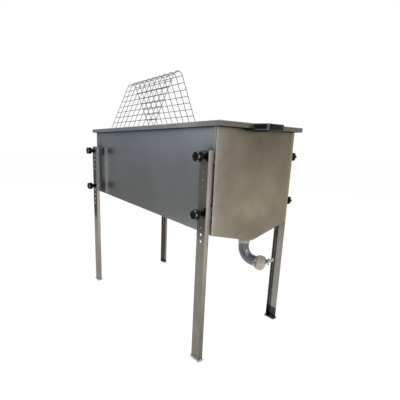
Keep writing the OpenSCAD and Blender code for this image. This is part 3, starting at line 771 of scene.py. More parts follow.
class Shape:
    """A mesh in the making, with the operators that the pieces share."""

    bead_length: float = 0.75
    bead_rise: float = 0.6
    bead_pitch: float = 0.9
    bead_lean: float = 0.3
    bead_least: int = 2
    bead_rounds: int = 8
    bead_rows: int = 5

    def __init__(self) -> None:
        """Start an empty mesh."""
        self.mesh = bmesh.new()

    @classmethod
    def of_node(cls, node: str) -> "Shape":
        """Copy a frame node's mesh, merged into whole flat faces.

        Args:
            node: The node's name.

        Returns:
            The copy.
        """
        shape = cls()
        mesh = shape.mesh
        mesh.from_mesh(frame["nodes"][node].data)
        bmesh.ops.remove_doubles(mesh, verts=mesh.verts, dist=MERGE_DISTANCE)
        bmesh.ops.dissolve_limit(mesh, angle_limit=FLAT_ANGLE, verts=mesh.verts, edges=mesh.edges)
        return shape

    def join(self, other: "Shape") -> None:
        """Take in another shape's mesh and free it.

        Args:
            other: The other shape.
        """
        data = bpy.data.meshes.new("joined")
        other.mesh.to_mesh(data)
        other.mesh.free()
        self.mesh.from_mesh(data)
        bpy.data.meshes.remove(data)

    def bead(self, place: Vector, radius: float, along: Vector, normal: Vector) -> None:
        """Add one flattened ripple of a weld.

        Args:
            place: Centre of the ripple.
            radius: Half its width.
            along: Direction of the seam.
            normal: Direction that the bead rises in.
        """
        side = normal.cross(along).normalized()
        turn = Matrix((along.normalized(), side, normal.normalized())).transposed().to_4x4()
        shrink = Matrix.Diagonal((self.bead_length * radius, radius, self.bead_rise * radius, 1.0))
        matrix = Matrix.Translation(place) @ turn @ shrink
        bmesh.ops.create_uvsphere(
            self.mesh, u_segments=self.bead_rounds, v_segments=self.bead_rows, radius=1.0, matrix=matrix
        )

    def seam(self, start: Vector, end: Vector, radius: float, normal: Vector) -> None:
        """Add a straight row of weld ripples.

        Args:
            start: First end of the seam.
            end: Last end of the seam.
            radius: Half the bead's width.
            normal: Direction that the bead rises in.
        """
        run = end - start
        count = max(self.bead_least, round(run.length / (self.bead_pitch * radius)))
        row = Shape()
        for step in range(count + 1):
            row.bead(start + run * (step / count), radius, run, normal)
        self.join(row)

    def ring_seam(self, centre: Vector, axis: Vector, reach: float, radius: float) -> None:
        """Add a round of weld ripples about an axis.

        Args:
            centre: Centre of the round.
            axis: Its axis.
            reach: Radius of the round.
            radius: Half the bead's width.
        """
        out = axis.orthogonal().normalized() * reach
        count = round(2 * math.pi * reach / (self.bead_pitch * radius))
        ring = Shape()
        for step in range(count):
            spoke = Matrix.Rotation(2 * math.pi * step / count, 3, axis) @ out
            ring.bead(centre + spoke, radius, axis.cross(spoke), spoke + axis * reach * self.bead_lean)
        self.join(ring)

    def turned(self, profile: list[Pair], segments: int, outline: Outline) -> None:
        """Raise a ring through a profile, from a closed bottom to a closed top.

        Args:
            profile: Radius and height of each ring, from the bottom up.
            segments: Points round a ring.
            outline: Radius by angle and ring radius.
        """
        ring = bmesh.ops.create_circle(self.mesh, cap_ends=True, segments=segments, radius=1.0)["verts"]
        self.set_ring(ring, profile[0], outline)
        edges = self.ring_edges(ring)
        for place in profile[1:]:
            grown = bmesh.ops.extrude_edge_only(self.mesh, edges=edges)["geom"]
            ring = only(Vert, grown)
            edges = [edge for edge in only(Edge, grown) if all(vert in ring for vert in edge.verts)]
            self.set_ring(ring, place, outline)
        bmesh.ops.edgeloop_fill(self.mesh, edges=edges)

    def sleeve(self, profile: list[Pair], segments: int, outline: Outline) -> None:
        """Close a profile of rings into a hollow sleeve, plain inside.

        Args:
            profile: Radius and height of each ring, from the inside bottom round to the inside top.
            segments: Points round a ring.
            outline: Radius by angle and ring radius, for the rings between the first and the last.
        """
        loops = []
        for count, place in enumerate(profile):
            ring = bmesh.ops.create_circle(self.mesh, segments=segments, radius=1.0)["verts"]
            plain = count in (0, len(profile) - 1)
            self.set_ring(ring, place, None if plain else outline)
            loops.append(self.ring_edges(ring))
        for first, second in zip(loops, loops[1:] + loops[:1]):
            bmesh.ops.bridge_loops(self.mesh, edges=first + second)

    @staticmethod
    def ring_edges(ring: list[Vert]) -> list[Edge]:
        """Edges of a new ring that is joined to nothing else."""
        return list({edge for vert in ring for edge in vert.link_edges})

    @staticmethod
    def set_ring(ring: list[Vert], place: Pair, outline: Outline | None) -> None:
        """Put a ring's points at a radius and height, shaped by an outline.

        Args:
            ring: The points.
            place: The ring's radius and height.
            outline: Radius by angle and ring radius, or none for a round ring.
        """
        radius, height = place
        for vert in ring:
            angle = math.atan2(vert.co.y, vert.co.x)
            reach = outline(angle, radius) if outline else radius
            vert.co = (reach * math.cos(angle), reach * math.sin(angle), height)

    def piece(
        self, name: str, finish: Finish, body: str, slot: str, replaced: tuple[str, ...] = ()
    ) -> bpy.types.Object:
        """Turn the mesh into a finished object that rides on a body.

        Args:
            name: The piece's name.
            finish: Its finish.
            body: The body that it moves with.
            slot: The record's material slot; not used.
            replaced: Nodes that the piece stands for.

        Returns:
            The object.
        """
        bmesh.ops.recalc_face_normals(self.mesh, faces=self.mesh.faces)
        for edge in self.mesh.edges:
            edge.smooth = len(edge.link_faces) != 2 or edge.calc_face_angle() < SHARP_ANGLE
        for face in self.mesh.faces:
            face.smooth = True
            face.material_index = 0
        obj = meshed(name, self.mesh, finish.material())
        attributes = obj.data.attributes
        if "custom_normal" in attributes:
            attributes.remove(attributes["custom_normal"])
        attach(obj, body)
        if replaced:
            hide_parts(*replaced)
        log.info("piece %s on %s: %d faces", name, body, len(obj.data.polygons))
        return obj


def softened(node: str, finish: Finish, body: str, slot: str, edge: float) -> None:
    """Stand a copy with rounded edges in for a node.

    Args:
        node: The frame node.
        finish: Its finish.
        body: The body that it rides on.
        slot: The record's material slot.
        edge: Width of the rounded edge.
    """
    obj = Shape.of_node(node).piece(node + "_made", finish, body, slot, (node,))
    bevel = obj.modifiers.new("rounded_edges", "BEVEL")
    bevel.width = edge
    bevel.segments = EDGE_SEGMENTS
    bevel.limit_method = "ANGLE"
    bevel.angle_limit = SHARP_ANGLE
    bevel.harden_normals = True


def dress(node: str, finish: Finish) -> None:
    """Give a frame node, whose shape is right, its finish.

    Args:
        node: The frame node.
        finish: Its finish.
    """
    obj = frame["nodes"][node]
    obj.data.materials.clear()
    obj.data.materials.append(finish.material())
    log.info("dressed %s in %s", node, finish.name)


@dataclass
class TankBody:
    """Trough of folded sheet with its rim, ledges and weld seams."""

    body: str = "tank"
    sheet_edge: float = 0.4 * MM
    seam_radius: float = 1.1 * MM
    seam_inset: float = 3.3 * MM

    def build(self) -> None:
        """Make the sheet pieces and their seams."""
        sheets = (
            (WALL_STEEL, "wall_steel", ("near_wall", "far_wall")),
            (END_STEEL, "end_steel", ("drain_end_panel", "back_end_panel")),
            (RIM_STEEL, "rim_steel", ("rim_near", "rim_far")),
            (RIM_END_STEEL, "rim_steel", ("rim_drain_end", "rim_back_end")),
            (INSIDE_STEEL, "wall_steel", ("ledge_near", "ledge_far", "floor_sheet")),
        )
        for finish, slot, nodes in sheets:
            for node in nodes:
                softened(node, finish, self.body, slot, self.sheet_edge)
        self.rim_seams()

    def rim_seams(self) -> None:
        """Lay the ground-down weld across each mitred corner of the rim."""
        low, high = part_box("rim_near")
        end_low, end_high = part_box("rim_drain_end")
        shape = Shape()
        inset = self.seam_inset
        for end, side in product(SIGNS, SIGNS):
            outer = Vector((end * (end_high.x - inset), side * (-low.y - inset), high.z))
            inner = Vector((end * (end_low.x + inset), side * (-high.y + inset), high.z))
            shape.seam(inner, outer, self.seam_radius, UP)
        shape.piece("rim_corner_welds", WELD_STEEL, self.body, "rim_steel")


@dataclass
class Legs:
    """Four folded legs with their feet, brackets and welds."""

    body: str = "tank"
    edge: float = 1.2 * MM
    bracket_edge: float = 0.6 * MM
    foot_edge: float = 0.8 * MM
    weld_radius: float = 1.5 * MM
    bracket_width: float = 22.0 * MM
    stitch_end: float = 21.0 * MM
    stitch_length: float = 13.0 * MM
    stitch_radius: float = 1.4 * MM

    def build(self) -> None:
        """Make the legs, feet, brackets and their welds."""
        # Each corner takes its own copy of the leg steel: painted light and shade.
        finishes = {Corner.NEAR_DRAIN: LEG_STEEL, Corner.FAR_DRAIN: FAR_LEG_STEEL}
        for corner in Corner:
            finish = finishes.get(corner, BACK_LEG_STEEL)
            softened("leg_" + corner.label, finish, self.body, "leg_steel", self.edge)
            # Painted shade on the far drain leg's foot plate and foot weld.
            foot_shaded = corner is Corner.FAR_DRAIN
            foot_finish = FOOT_SHADE_STEEL if foot_shaded else FOOT_STEEL
            softened("foot_" + corner.label, foot_finish, self.body, "leg_steel", self.foot_edge)
            self.foot_weld(corner, FOOT_SHADE_WELD if foot_shaded else WELD_STEEL)
        softened("leg_brackets", BRACKET_STEEL, self.body, "leg_steel", self.bracket_edge)
        dress("captive_nuts", FASTENER_STEEL)
        # The drain end's stitches take the darker weld copy: painted shade.
        self.stitches("bracket_welds_drain_end", SHADED_STITCH_WELD, (Corner.NEAR_DRAIN, Corner.FAR_DRAIN))
        self.stitches("bracket_welds_back_end", WELD_STEEL, (Corner.NEAR_BACK, Corner.FAR_BACK))

    def stitches(self, name: str, finish: WeldSteel, corners: tuple[Corner, Corner]) -> None:
        """Lay two short stitches along each edge of one end's brackets, where they meet the wall.

        Args:
            name: The piece's name.
            finish: The weld's finish.
            corners: The two legs of that end.
        """
        shape = Shape()
        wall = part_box("far_wall")[1].y
        for corner, level, side, end in product(corners, Level, SIGNS, SIGNS):
            low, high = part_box("knob_" + corner.label + "_" + level.value)
            middle = (low + high) / 2
            edge_x = middle.x + side * self.bracket_width / 2
            outer = Vector((edge_x, corner.outward * wall, middle.z + end * self.stitch_end))
            inner = outer - UP * end * self.stitch_length
            shape.seam(inner, outer, self.stitch_radius, Vector((side, corner.outward, 0)))
        shape.piece(name, finish, self.body, "leg_steel")

    def foot_weld(self, corner: Corner, finish: WeldSteel) -> None:
        """Lay the fillet round the foot of one leg, along its web and its flange.

        Args:
            corner: The leg's corner.
            finish: The weld's finish.
        """
        low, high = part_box("leg_" + corner.label)
        free, fold = (low, high) if corner.outward < 0 else (high, low)
        toe = Vector((free.x, free.y, low.z))
        heel = Vector((fold.x, free.y, low.z))
        tip = Vector((fold.x, fold.y, low.z))
        shape = Shape()
        shape.seam(toe, heel, self.weld_radius, Vector((0, corner.outward, 1)))
        shape.seam(heel, tip, self.weld_radius, Vector((-corner.outward, 0, 1)))
        shape.piece("foot_weld_" + corner.label, finish, self.body, "leg_steel")


@dataclass
class LegKnobs:
    """Star knobs with tapered necks, on plain round studs."""

    neck_low: float = 8.0 * MM
    neck_high: float = 12.5 * MM
    neck_height: float = 18.0 * MM
    neck_chamfer: float = 0.8 * MM
    head_height: float = 22.0 * MM
    reach: float = 19.0 * MM
    lobe: float = 6.5 * MM
    lobes: int = 6
    edge: float = 4.5 * MM
    round_steps: int = 6
    segments: int = 72
    # Where the lobes' worn edges with a painted glint start, and how soft their border is.
    rubbed_glint: float = 15.0 * MM
    glint_fade: float = 1.6 * MM
    dish: float = 7.5 * MM
    dish_lip: float = 1.0 * MM
    dish_step: float = 0.3 * MM
    dish_slope: float = 0.8 * MM
    dish_depth: float = 1.2 * MM
    dish_middle: float = 2.0 * MM

    def outline(self, angle: float, radius: float) -> float:
        """Find the lobed head's radius at an angle.

        Args:
            angle: The angle about the knob's axis.
            radius: How far the ring's lobes reach.

        Returns:
            The radius there.
        """
        half = math.pi / self.lobes
        turn = (angle + half) % (2 * half) - half
        arm = self.reach - self.lobe
        lobed = arm * math.cos(turn) + math.sqrt(self.lobe**2 - (arm * math.sin(turn)) ** 2)
        share = min(1.0, max(0.0, (radius - self.dish) / (self.reach - self.dish)))
        return radius * (1.0 - share) + radius * share * lobed / self.reach

    def profile(self) -> list[Pair]:
        """Radius and height of each ring, from the neck's foot to the dish in the top.

        Returns:
            The rings, bottom first.
        """
        top = self.neck_height + self.head_height
        under = self.reach - self.edge
        turns = [0.5 * math.pi * step / self.round_steps for step in range(self.round_steps + 1)]
        rounding = [(under + self.edge * math.sin(turn), self.edge * (1 - math.cos(turn))) for turn in turns]
        rings = [(self.neck_low - self.neck_chamfer, 0.0), (self.neck_low, self.neck_chamfer)]
        rings += [(self.neck_high, self.neck_height)]
        rings += [(radius, self.neck_height + rise) for radius, rise in rounding]
        rings += [(radius, top - rise) for radius, rise in reversed(rounding)]
        rings += [(self.dish + self.dish_lip, top), (self.dish, top - self.dish_step)]
        bottom = top - self.dish_depth
        rings += [(self.dish - self.dish_slope, bottom), (self.dish_middle, bottom)]
        return rings

    def rub_and_glint(self, mesh: Mesh) -> None:
        """Mark the lobes' upper edges as worn, with a painted glint, fading towards the dish and the sides.

        Args:
            mesh: The knob's mesh, upright about Z.
        """
        wear_glint = mesh.verts.layers.float.new(WEAR_AND_GLINT_LAYER)
        rounding = self.neck_height + self.head_height - self.edge
        for vert in mesh.verts:
            depth = min(vert.co.xy.length - self.rubbed_glint, vert.co.z - rounding)
            vert[wear_glint] = min(1.0, max(0.0, depth / self.glint_fade))

    def build(self) -> None:
        """Make all eight knobs and dress their studs."""
        for corner, level in product(Corner, Level):
            self.knob(corner, level)

    def knob(self, corner: Corner, level: Level) -> None:
        """Make one knob where its node is.

        Args:
            corner: The leg's corner.
            level: Which knob of the leg.
        """
        label = corner.label + "_" + level.value
        node = "knob_" + label
        low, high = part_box(node)
        seat_y = high.y if corner.outward < 0 else low.y
        shape = Shape()
        shape.turned(self.profile(), self.segments, self.outline)
        self.rub_and_glint(shape.mesh)
        across = Vector((-corner.outward, 0, 0))
        outward = Vector((0, corner.outward, 0))
        turn = Matrix((across, UP, outward)).transposed().to_4x4()
        place = Matrix.Translation(((low.x + high.x) / 2, seat_y, (low.z + high.z) / 2))
        bmesh.ops.transform(shape.mesh, matrix=place @ turn, verts=shape.mesh.verts)
        shape.piece(node + "_made", KNOB_PLASTIC, "knob_body_" + label, "knob_plastic", (node,))
        dress("stud_" + label, FASTENER_STEEL)


@dataclass
class Handles:
    """Moulded bow handles with a sunk panel on each slanted arm, and their screws."""

    body: str = "tank"
    base: float = 122.0 * MM
    grip: float = 84.0 * MM
    bar: float = 16.0 * MM
    bend_radius: float = 5.0 * MM
    bend_steps: int = 4
    edge: float = 2.2 * MM
    edge_steps: int = 3
    outward_least: float = 0.3
    # Faces turned this much towards the arm's outer face get worn edges with a painted glint.
    worn_glint_facing: Pair = (0.55, 0.97)
    panel_frame: float = 0.9 * MM
    panel_wall: float = 0.5 * MM
    panel_depth: float = 1.0 * MM

    def build(self) -> None:
        """Make both bows and dress their screws."""
        self.bow("handle_drain_end", 1)
        self.bow("handle_back_end", -1)
        dress("handle_screws", FASTENER_STEEL)

    def plan(self, reach: float) -> list[Vector]:
        """Corners of the bow seen from above, with its feet at x = 0.

        Args:
            reach: How far the bow stands out.

        Returns:
            The outer corners from the -Y foot round to the +Y foot, then the inner ones back.
        """
        bend = Vector((reach - self.bar / 2, self.grip / 2, 0))
        foot = Vector((0, self.base / 2, 0))
        arm = (bend - foot).normalized()
        side = Vector((-arm.y, arm.x, 0)) * self.bar / 2
        corners = []
        for offset, front in ((side, reach), (-side, reach - self.bar)):
            start = foot + offset
            corners.append([start - arm * (start.x / arm.x), start + arm * ((front - start.x) / arm.x)])
        (outer_foot, outer_bend), (inner_foot, inner_bend) = corners
        right = [outer_foot, outer_bend, inner_bend, inner_foot]
        left = [Vector((point.x, -point.y, 0)) for point in right]
        return [left[0], left[1], right[1], right[0], right[3], right[2], left[2], left[3]]

    def bow(self, node: str, end: int) -> None:
        """Make one bow where its node is.

        Args:
            node: The frame node.
            end: Sign of the X direction that the bow stands out in.
        """
        low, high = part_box(node)
        reach = high.x - low.x
        shape = Shape()
        mesh = shape.mesh
        face = mesh.faces.new([mesh.verts.new(point) for point in self.plan(reach)])
        grown = bmesh.ops.extrude_face_region(mesh, geom=[face])["geom"]
        bmesh.ops.translate(mesh, vec=(0, 0, high.z - low.z), verts=only(Vert, grown))
        bmesh.ops.recalc_face_normals(mesh, faces=mesh.faces)
        front = reach - MERGE_DISTANCE
        bends = [edge for edge in mesh.edges if self.upright(edge) and edge.verts[0].co.x > front]
        self.rounded(mesh, bends, self.bend_radius, self.bend_steps)
        sharp = [edge for edge in mesh.edges if edge.calc_face_angle() > SHARP_ANGLE]
        self.rounded(mesh, sharp, self.edge, self.edge_steps)
        self.sink_panels(mesh)
        flip = Matrix.Rotation(0 if end > 0 else math.pi, 4, "Z")
        place = Matrix.Translation((low.x if end > 0 else high.x, 0, low.z))
        bmesh.ops.transform(mesh, matrix=place @ flip, verts=mesh.verts)
        shape.piece(node + "_made", HANDLE_PLASTIC, self.body, "handle_plastic", (node,))

    @staticmethod
    def slant(face: Face) -> float:
        """Sorting value that puts the large slanted faces first."""
        return -face.calc_area() * abs(face.normal.y)

    @staticmethod
    def upright(edge: Edge) -> bool:
        """Whether an edge stands along Z."""
        return abs(edge.verts[0].co.z - edge.verts[1].co.z) > MERGE_DISTANCE

    @staticmethod
    def rounded(mesh: Mesh, edges: list[Edge], radius: float, steps: int) -> None:
        """Round a set of edges."""
        bmesh.ops.bevel(
            mesh, geom=edges, offset=radius, segments=steps, profile=0.5, affect="EDGES", material=-1
        )

    def sink_panels(self, mesh: Mesh) -> None:
        """Sink a panel into the flat outer face of each slanted arm, and mark the worn edges, which also
        carry a painted glint.

        Args:
            mesh: The bow's mesh, standing out along +X.
        """
        mesh.normal_update()
        wear_glint = mesh.faces.layers.float.new(WEAR_AND_GLINT_LAYER)
        outward = [face for face in mesh.faces if face.normal.x > self.outward_least]
        panels = sorted(outward, key=self.slant)[:2]
        facing = Vector((panels[0].normal.x, abs(panels[0].normal.y), 0))
        least, most = self.worn_glint_facing
        for face in mesh.faces:
            along = Vector((face.normal.x, abs(face.normal.y), face.normal.z)).dot(facing)
            face[wear_glint] = 1.0 if least < along < most else 0.0
        frames = bmesh.ops.inset_individual(mesh, faces=panels, thickness=self.panel_frame)["faces"]
        for face in frames:
            face[wear_glint] = 1.0
        bmesh.ops.inset_individual(mesh, faces=panels, thickness=self.panel_wall, depth=-self.panel_depth)
        for face in panels:
            face[wear_glint] = 0.0


@dataclass
class Outlet:
    """Socket, coupling sleeve and elbow under the floor's low end, with their welds."""

    body: str = "tank"
    pipe: float = 42.0 * MM
    pipe_wall: float = 1.5 * MM
    bend: float = 48.6 * MM
    round_segments: int = 64
    bend_steps: int = 32
    weld_radius: float = 1.2 * MM
    weld_lift: float = 0.6 * MM
    coupling_wall: float = 2.0 * MM
    ribs: int = 24
    rib_points: int = 4
    rib_depth: float = 0.9 * MM
    rib_flatness: float = 1.6
    lip: float = 1.0 * MM

    def build(self) -> None:
        """Make the elbow and the coupling, dress the socket and lay the welds."""
        self.elbow()
        dress("outlet_socket", PIPE_STEEL)
        low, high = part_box("outlet_coupling")
        self.ribbed_ring(low, high)
        socket_low, socket_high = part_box("outlet_socket")
        reach = (socket_high.y - socket_low.y) / 2 + self.weld_lift
        gate_low, gate_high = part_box("gate_body")
        collar = Vector(((low.x + high.x) / 2, 0, high.z))
        neck = Vector((gate_low.x, 0, (gate_low.z + gate_high.z) / 2))
        shape = Shape()
        shape.ring_seam(collar, UP, reach, self.weld_radius)
        shape.ring_seam(neck, Vector((-1, 0, 0)), reach, self.weld_radius)
        shape.piece("outlet_welds", WELD_STEEL, self.body, "pipe_steel")

    def elbow(self) -> None:
        """Draw the pipe's ring down, round the bend and out to the gate."""
        low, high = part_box("outlet_elbow")
        radius = self.pipe / 2
        top = Vector((low.x + radius, 0, high.z))
        centre = Vector((top.x + self.bend, 0, low.z + radius + self.bend))
        shape = Shape()
        mesh = shape.mesh
        loops = []
        for reach in (radius, radius - self.pipe_wall):
            ring = bmesh.ops.create_circle(
                mesh, segments=self.round_segments, radius=reach, matrix=Matrix.Translation(top)
            )["verts"]
            loops += shape.ring_edges(ring)
        section = bmesh.ops.bridge_loops(mesh, edges=loops)["faces"]
        section = self.drawn(mesh, section, Vector((0, 0, centre.z - top.z)))
        turned = bmesh.ops.spin(
            mesh, geom=section, cent=centre, axis=(0, 1, 0), angle=-math.pi / 2, steps=self.bend_steps
        )["geom_last"]
        self.drawn(mesh, only(Face, turned), Vector((high.x - centre.x, 0, 0)))
        bmesh.ops.remove_doubles(mesh, verts=mesh.verts, dist=MERGE_DISTANCE)
        shape.piece("outlet_elbow_made", PIPE_STEEL, self.body, "pipe_steel", ("outlet_elbow",))

    @staticmethod
    def drawn(mesh: Mesh, section: list[Face], run: Vector) -> list[Face]:
        """Draw a section out along a straight run.

        Args:
            mesh: The mesh that the section is in.
            section: The section's faces.
            run: Direction and length of the run.

        Returns:
            The section's faces at the far end.
        """
        grown = bmesh.ops.extrude_face_region(mesh, geom=section)["geom"]
        bmesh.ops.translate(mesh, vec=run, verts=only(Vert, grown))
        return only(Face, grown)

    def ribbed_ring(self, low: Vector, high: Vector) -> None:
        """Make the coupling as a sleeve with grip ribs between two plain edges.

        Args:
            low: Lowest corner of the coupling's box.
            high: Its highest corner.
        """
        outer = (high.x - low.x) / 2
        inner = outer - self.coupling_wall
        half = (high.z - low.z) / 2
        rings = [(inner, -half), (outer - self.rib_depth, -half), (outer, self.lip - half)]
        rings += [(outer, half - self.lip), (outer - self.rib_depth, half), (inner, half)]
        shape = Shape()
        shape.sleeve(rings, self.rib_points * self.ribs, self.rib_outline)
        bmesh.ops.translate(shape.mesh, vec=(low + high) / 2, verts=shape.mesh.verts)
        shape.piece("outlet_coupling_made", RING_STEEL, self.body, "pipe_steel", ("outlet_coupling",))

    def rib_outline(self, angle: float, radius: float) -> float:
        """Radius of the ribbed sleeve at an angle, for a ring of a given radius."""
        wave = max(-1.0, min(1.0, self.rib_flatness * math.cos(self.ribs * angle)))
        return radius - 0.5 * self.rib_depth * (1.0 - wave)


@dataclass
class Gate:
    """Swing gate: turned body, disc with its lever, bolts and wing nut."""

    edge: float = 0.7 * MM
    small_edge: float = 0.4 * MM

    def build(self) -> None:
        """Make the gate's pieces."""
        softened("gate_body", GATE_STEEL, "tank", "gate_steel", self.edge)
        softened("gate_disc", GATE_STEEL, "gate", "gate_steel", self.small_edge)
        softened("gate_wing_nut", FASTENER_STEEL, "wing_nut", "fastener_steel", self.small_edge)
        for node in ("gate_pivot_bolt", "gate_pivot_nut", "gate_clamp_bolt"):
            softened(node, FASTENER_STEEL, "tank", "fastener_steel", self.small_edge)
        dress("gate_seal", SEAL_SKIN)


@dataclass
class Easel:
    """Tent of welded wire with a nugget at each crossing."""

    body: str = "easel"
    wire: float = 3.0 * MM
    weld_gap: float = 0.1 * MM
    ridge_radius: float = 28.5 * MM
    lean: float = math.radians(24.3)
    cells_long: int = 9
    cells_side: int = 15
    nugget: float = 1.9 * MM

    def build(self) -> None:
        """Dress the wires and set a nugget at each crossing."""
        dress("easel_hoops", WIRE_STEEL)
        dress("easel_wires", WIRE_STEEL)
        self.nuggets()

    def nuggets(self) -> None:
        """Set the small melted lumps where a hoop crosses a long wire."""
        low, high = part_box("easel_hoops")
        ridge_z = high.z - self.wire / 2 - self.ridge_radius
        first_x = low.x + self.wire / 2
        step_x = (high.x - low.x - self.wire) / self.cells_long
        arc = self.ridge_radius * (math.pi / 2 - self.lean)
        foot_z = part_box("easel_wires")[0].z + self.wire / 2
        hoop_foot_z = foot_z + (self.wire + self.weld_gap) * math.sin(self.lean)
        drop = ridge_z + self.ridge_radius * math.sin(self.lean) - hoop_foot_z
        step = (arc + drop / math.cos(self.lean)) / self.cells_side
        shape = Shape()
        for side in range(-self.cells_side, self.cells_side + 1):
            place, outward = self.crossing(side * step, arc)
            row = Shape()
            for count in range(self.cells_long + 1):
                centre = Vector((first_x + count * step_x, place.y, ridge_z + place.z))
                row.bead(centre, self.nugget, Vector((1, 0, 0)), outward)
            shape.join(row)
        shape.piece("easel_nuggets", WELD_STEEL, self.body, "wire_steel")

    def crossing(self, girth: float, arc: float) -> tuple[Vector, Vector]:
        """Find a crossing's place about the ridge's centre.

        Args:
            girth: Distance along the hoop from its top, negative on the near side.
            arc: Length of half the ridge's bend.

        Returns:
            The place between the two wires, and the direction away from the tent.
        """
        along = min(abs(girth), arc)
        past = max(0.0, abs(girth) - arc)
        turn = along / self.ridge_radius
        side = -1.0 if girth < 0 else 1.0
        reach = self.ridge_radius - (self.wire + self.weld_gap) / 2
        across = reach * math.sin(turn) + past * math.sin(self.lean)
        height = reach * math.cos(turn) - past * math.cos(self.lean)
        outward = Vector((0, side * math.sin(turn), math.cos(turn)))
        return Vector((0, side * across, height)), outward


@dataclass
class Studio:
    """Camera, pale floor, white background, soft lamps and the cards that the steel mirrors."""

    place: Colour = (1.2318, -0.9807, 0.7881)
    azimuth: float = 53.04
    elevation: float = 12.47
    roll: float = 1.44
    sensor: float = 36.0
    lens: float = 28.08
    shift: Pair = (0.0771, 0.0423)
    floor_size: float = 60.0
    floor_colour: Colour = (0.86, 0.86, 0.86)
    floor_white: float = 1.09
    floor_glow: float = 0.84
    sky_light: float = 0.55
    lamp_aim: Colour = (0.0, 0.0, 0.6)
    disc_segments: int = 48

    def build(self) -> None:
        """Set up the whole studio."""
        self.camera()
        self.floor()
        self.background()
        self.lamps()
        self.cards()
        bpy.context.scene.view_settings.view_transform = "Standard"

    def camera(self) -> None:
        """Stand the camera where the photograph was taken from."""
        data = bpy.data.cameras.new("camera")
        data.sensor_width = self.sensor
        data.lens = self.lens
        data.shift_x, data.shift_y = self.shift
        obj = placed("camera", data)
        turn = Matrix.Rotation(math.radians(self.azimuth), 4, "Z")
        tilt = Matrix.Rotation(math.radians(90 - self.elevation), 4, "X")
        roll = Matrix.Rotation(math.radians(self.roll), 4, "Z")
        obj.matrix_world = Matrix.Translation(self.place) @ turn @ tilt @ roll
        bpy.context.scene.camera = obj

    @staticmethod
    def seen(nodes: NodeTree) -> Socket:
        """Tell rays that show a thing from rays that light another.

        Args:
            nodes: The tree of a material or world.

        Returns:
            One for rays from the camera and for rays that mirror or pass through, else zero.
        """
        path = nodes.add("ShaderNodeLightPath").outputs
        mirrored = nodes.math("MAXIMUM", path["Is Glossy Ray"], path["Is Transmission Ray"])
        return nodes.math("MAXIMUM", path["Is Camera Ray"], mirrored)

    def floor(self) -> None:
        """Lay a pale floor that looks white and still takes the shadow."""
        nodes = NodeTree(bpy.data.materials.new("floor"))
        matt = nodes.add("ShaderNodeBsdfDiffuse", Color=rgba(self.floor_colour)).outputs[0]
        glow = nodes.add("ShaderNodeEmission", Color=WHITE, Strength=self.floor_white).outputs[0]
        share = nodes.math("MULTIPLY", self.seen(nodes), self.floor_glow)
        mixed = nodes.add("ShaderNodeMixShader", share, matt, glow).outputs[0]
        mesh = bmesh.new()
        bmesh.ops.create_grid(mesh, x_segments=1, y_segments=1, size=self.floor_size / 2)
        meshed("floor", mesh, nodes.surface(mixed))

    def background(self) -> None:
        """Make the background white, with a softer light from it."""
        nodes = NodeTree(bpy.data.worlds.new("studio"))
        strength = nodes.spread(self.seen(nodes), (self.sky_light, 1.0), SHARE)
        back = nodes.add("ShaderNodeBackground", Color=WHITE, Strength=strength)
        bpy.context.scene.world = nodes.surface(back.outputs[0])

    def lamps(self) -> None:
        """Hang a large key lamp, two weaker ones and two small ones that draw glints on edges."""
        self.lamp("key_lamp", (0.4, -2.6, 2.6), size=2.2, power=36.0)
        self.lamp("fill_lamp", (2.8, 0.6, 2.2), size=2.0, power=24.0)
        self.lamp("top_lamp", (-0.6, 1.0, 3.2), size=2.0, power=18.0)
        self.lamp("glint_lamp_left", (-0.9, -2.2, 1.9), size=0.4, power=10.0)
        self.lamp("glint_lamp_right", (2.4, -0.2, 1.8), size=0.4, power=8.0)

    def lamp(self, name: str, place: Colour, size: float, power: float) -> None:
        """Hang one square lamp that faces the tank.

        Args:
            name: The lamp's name.
            place: Where it hangs.
            size: Side of the square.
            power: Its power in watts.
        """
        data = bpy.data.lights.new(name, "AREA")
        data.size = size
        data.energy = power
        aim = Vector(self.lamp_aim) - Vector(place)
        turn = aim.to_track_quat("-Z", "Y").to_matrix().to_4x4()
        placed(name, data).matrix_world = Matrix.Translation(place) @ turn

    def cards(self) -> None:
        """Stand grey cards and hang two discs round the tank, outside the picture."""
        left = (
            (0.08, (0.272, 0.274, 0.263)),
            (0.30, (0.327, 0.326, 0.312)),
            (0.54, (0.341, 0.339, 0.349)),
            (0.70, (0.37, 0.385, 0.405)),
            (0.79, (0.355, 0.375, 0.405)),
            (0.88, (0.44, 0.475, 0.545)),
            (0.95, (0.30, 0.335, 0.395)),
        )
        right = ((0.0, (0.53, 0.485, 0.40)), (1.0, (0.37, 0.335, 0.275)))
        front = ((0.0, (0.16, 0.16, 0.17)), (1.0, (0.10, 0.10, 0.11)))
        window = ((0.0, (1.7, 1.9, 2.2)), (1.0, (1.9, 2.1, 2.4)))
        back = ((0.0, (0.44, 0.44, 0.45)), (1.0, (0.38, 0.39, 0.42)))
        self.card("left_card", (-2.5, -0.8), (-0.45, -1.65), (1.5, 1.0), left, (0.725, 1.416))
        self.card("right_card", (1.49, 0.676), (1.05, 1.78), (1.3, 1.5), right)
        self.card("front_card_right", (2.7, -0.3), (1.85, -0.975), (1.6, 1.6), front)
        self.card("front_window", (1.85, -0.975), (1.35, -1.37), (1.3, 1.3), window)
        self.card("front_card_left", (1.35, -1.37), (-0.2, -2.6), (1.6, 1.6), front)
        self.card("back_card", (-1.1, 1.7), (-2.3, 0.6), (1.4, 1.4), back)
        self.disc("window_disc", Vector((-0.90, -1.39, 1.0)), 0.17, (0.80, 0.84, 0.89))
        self.disc("warm_disc", Vector((1.29, 0.98, 0.43)), 0.2, (0.80, 0.72, 0.59))

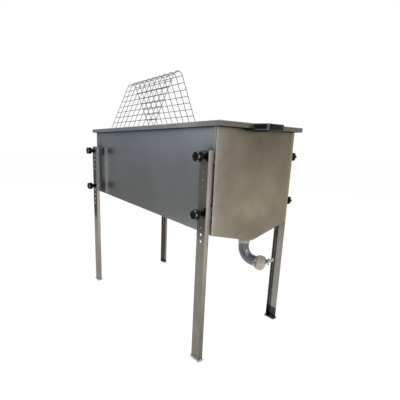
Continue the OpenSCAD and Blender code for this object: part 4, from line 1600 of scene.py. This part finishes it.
    def disc(self, name: str, place: Vector, radius: float, colour: Colour) -> None:
        """Hang one round light that only reflections see.

        Args:
            name: The disc's name.
            place: Where its middle hangs.
            radius: Its radius.
            colour: Its even brightness.
        """
        turn = Vector((-place.x, -place.y, 0)).to_track_quat("Z", "Y").to_matrix().to_4x4()
        matrix = Matrix.Translation(place) @ turn
        mesh = bmesh.new()
        bmesh.ops.create_circle(
            mesh, cap_ends=True, segments=self.disc_segments, radius=radius, matrix=matrix
        )
        sides = (place.x - radius, place.x + radius)
        self.reflected_only(name, mesh, ((0.0, colour), (1.0, colour)), EVEN, sides)

    def card(
        self, name: str, start: Pair, end: Pair, heights: Pair, shades: Shades, gains: Pair = EVEN
    ) -> None:
        """Stand one card on the floor, which only reflections see.

        Args:
            name: The card's name.
            start: Where its first side stands.
            end: Where its other side stands.
            heights: Height of each side.
            shades: Its brightness by height, from the floor to a metre up.
            gains: Factor on the brightness at each side.
        """
        mesh = bmesh.new()
        corners = [(*start, 0.0), (*end, 0.0), (*end, heights[1]), (*start, heights[0])]
        mesh.faces.new([mesh.verts.new(corner) for corner in corners])
        self.reflected_only(name, mesh, shades, gains, (start[0], end[0]))

    @staticmethod
    def reflected_only(name: str, mesh: Mesh, shades: Shades, gains: Pair, sides: Pair) -> None:
        """Make a glowing stage object of a mesh, which only reflections see.

        Args:
            name: The object's name.
            mesh: Its mesh, which is freed.
            shades: Its brightness by height.
            gains: Factor on the brightness at each side.
            sides: Where the two sides stand along X.
        """
        nodes = NodeTree(bpy.data.materials.new(name))
        shade = nodes.ramp(nodes.coordinate(Axis.Z), shades)
        gain = nodes.spread(nodes.coordinate(Axis.X), gains, sides)
        glow = nodes.add("ShaderNodeEmission", Color=shade, Strength=gain)
        obj = meshed(name, mesh, nodes.surface(glow.outputs[0]))
        obj.visible_camera = False
        obj.visible_diffuse = False
        obj.visible_shadow = False


def clear_startup_objects() -> None:
    """Remove what a new scene holds besides the frame."""
    kept = set(frame["bodies"].values()) | set(frame["nodes"].values())
    for obj in list(bpy.context.scene.objects):
        if obj not in kept:
            bpy.data.objects.remove(obj)


def main() -> None:
    """Build the tank's pieces and the studio."""
    logging.basicConfig(level=logging.INFO, format="%(name)s: %(message)s")
    clear_startup_objects()
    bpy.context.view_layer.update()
    Studio().build()
    for group in (TankBody(), Legs(), LegKnobs(), Handles(), Outlet(), Gate(), Easel()):
        group.build()
        log.info("built %s", type(group).__name__)


if __name__ == "__main__":
    main()
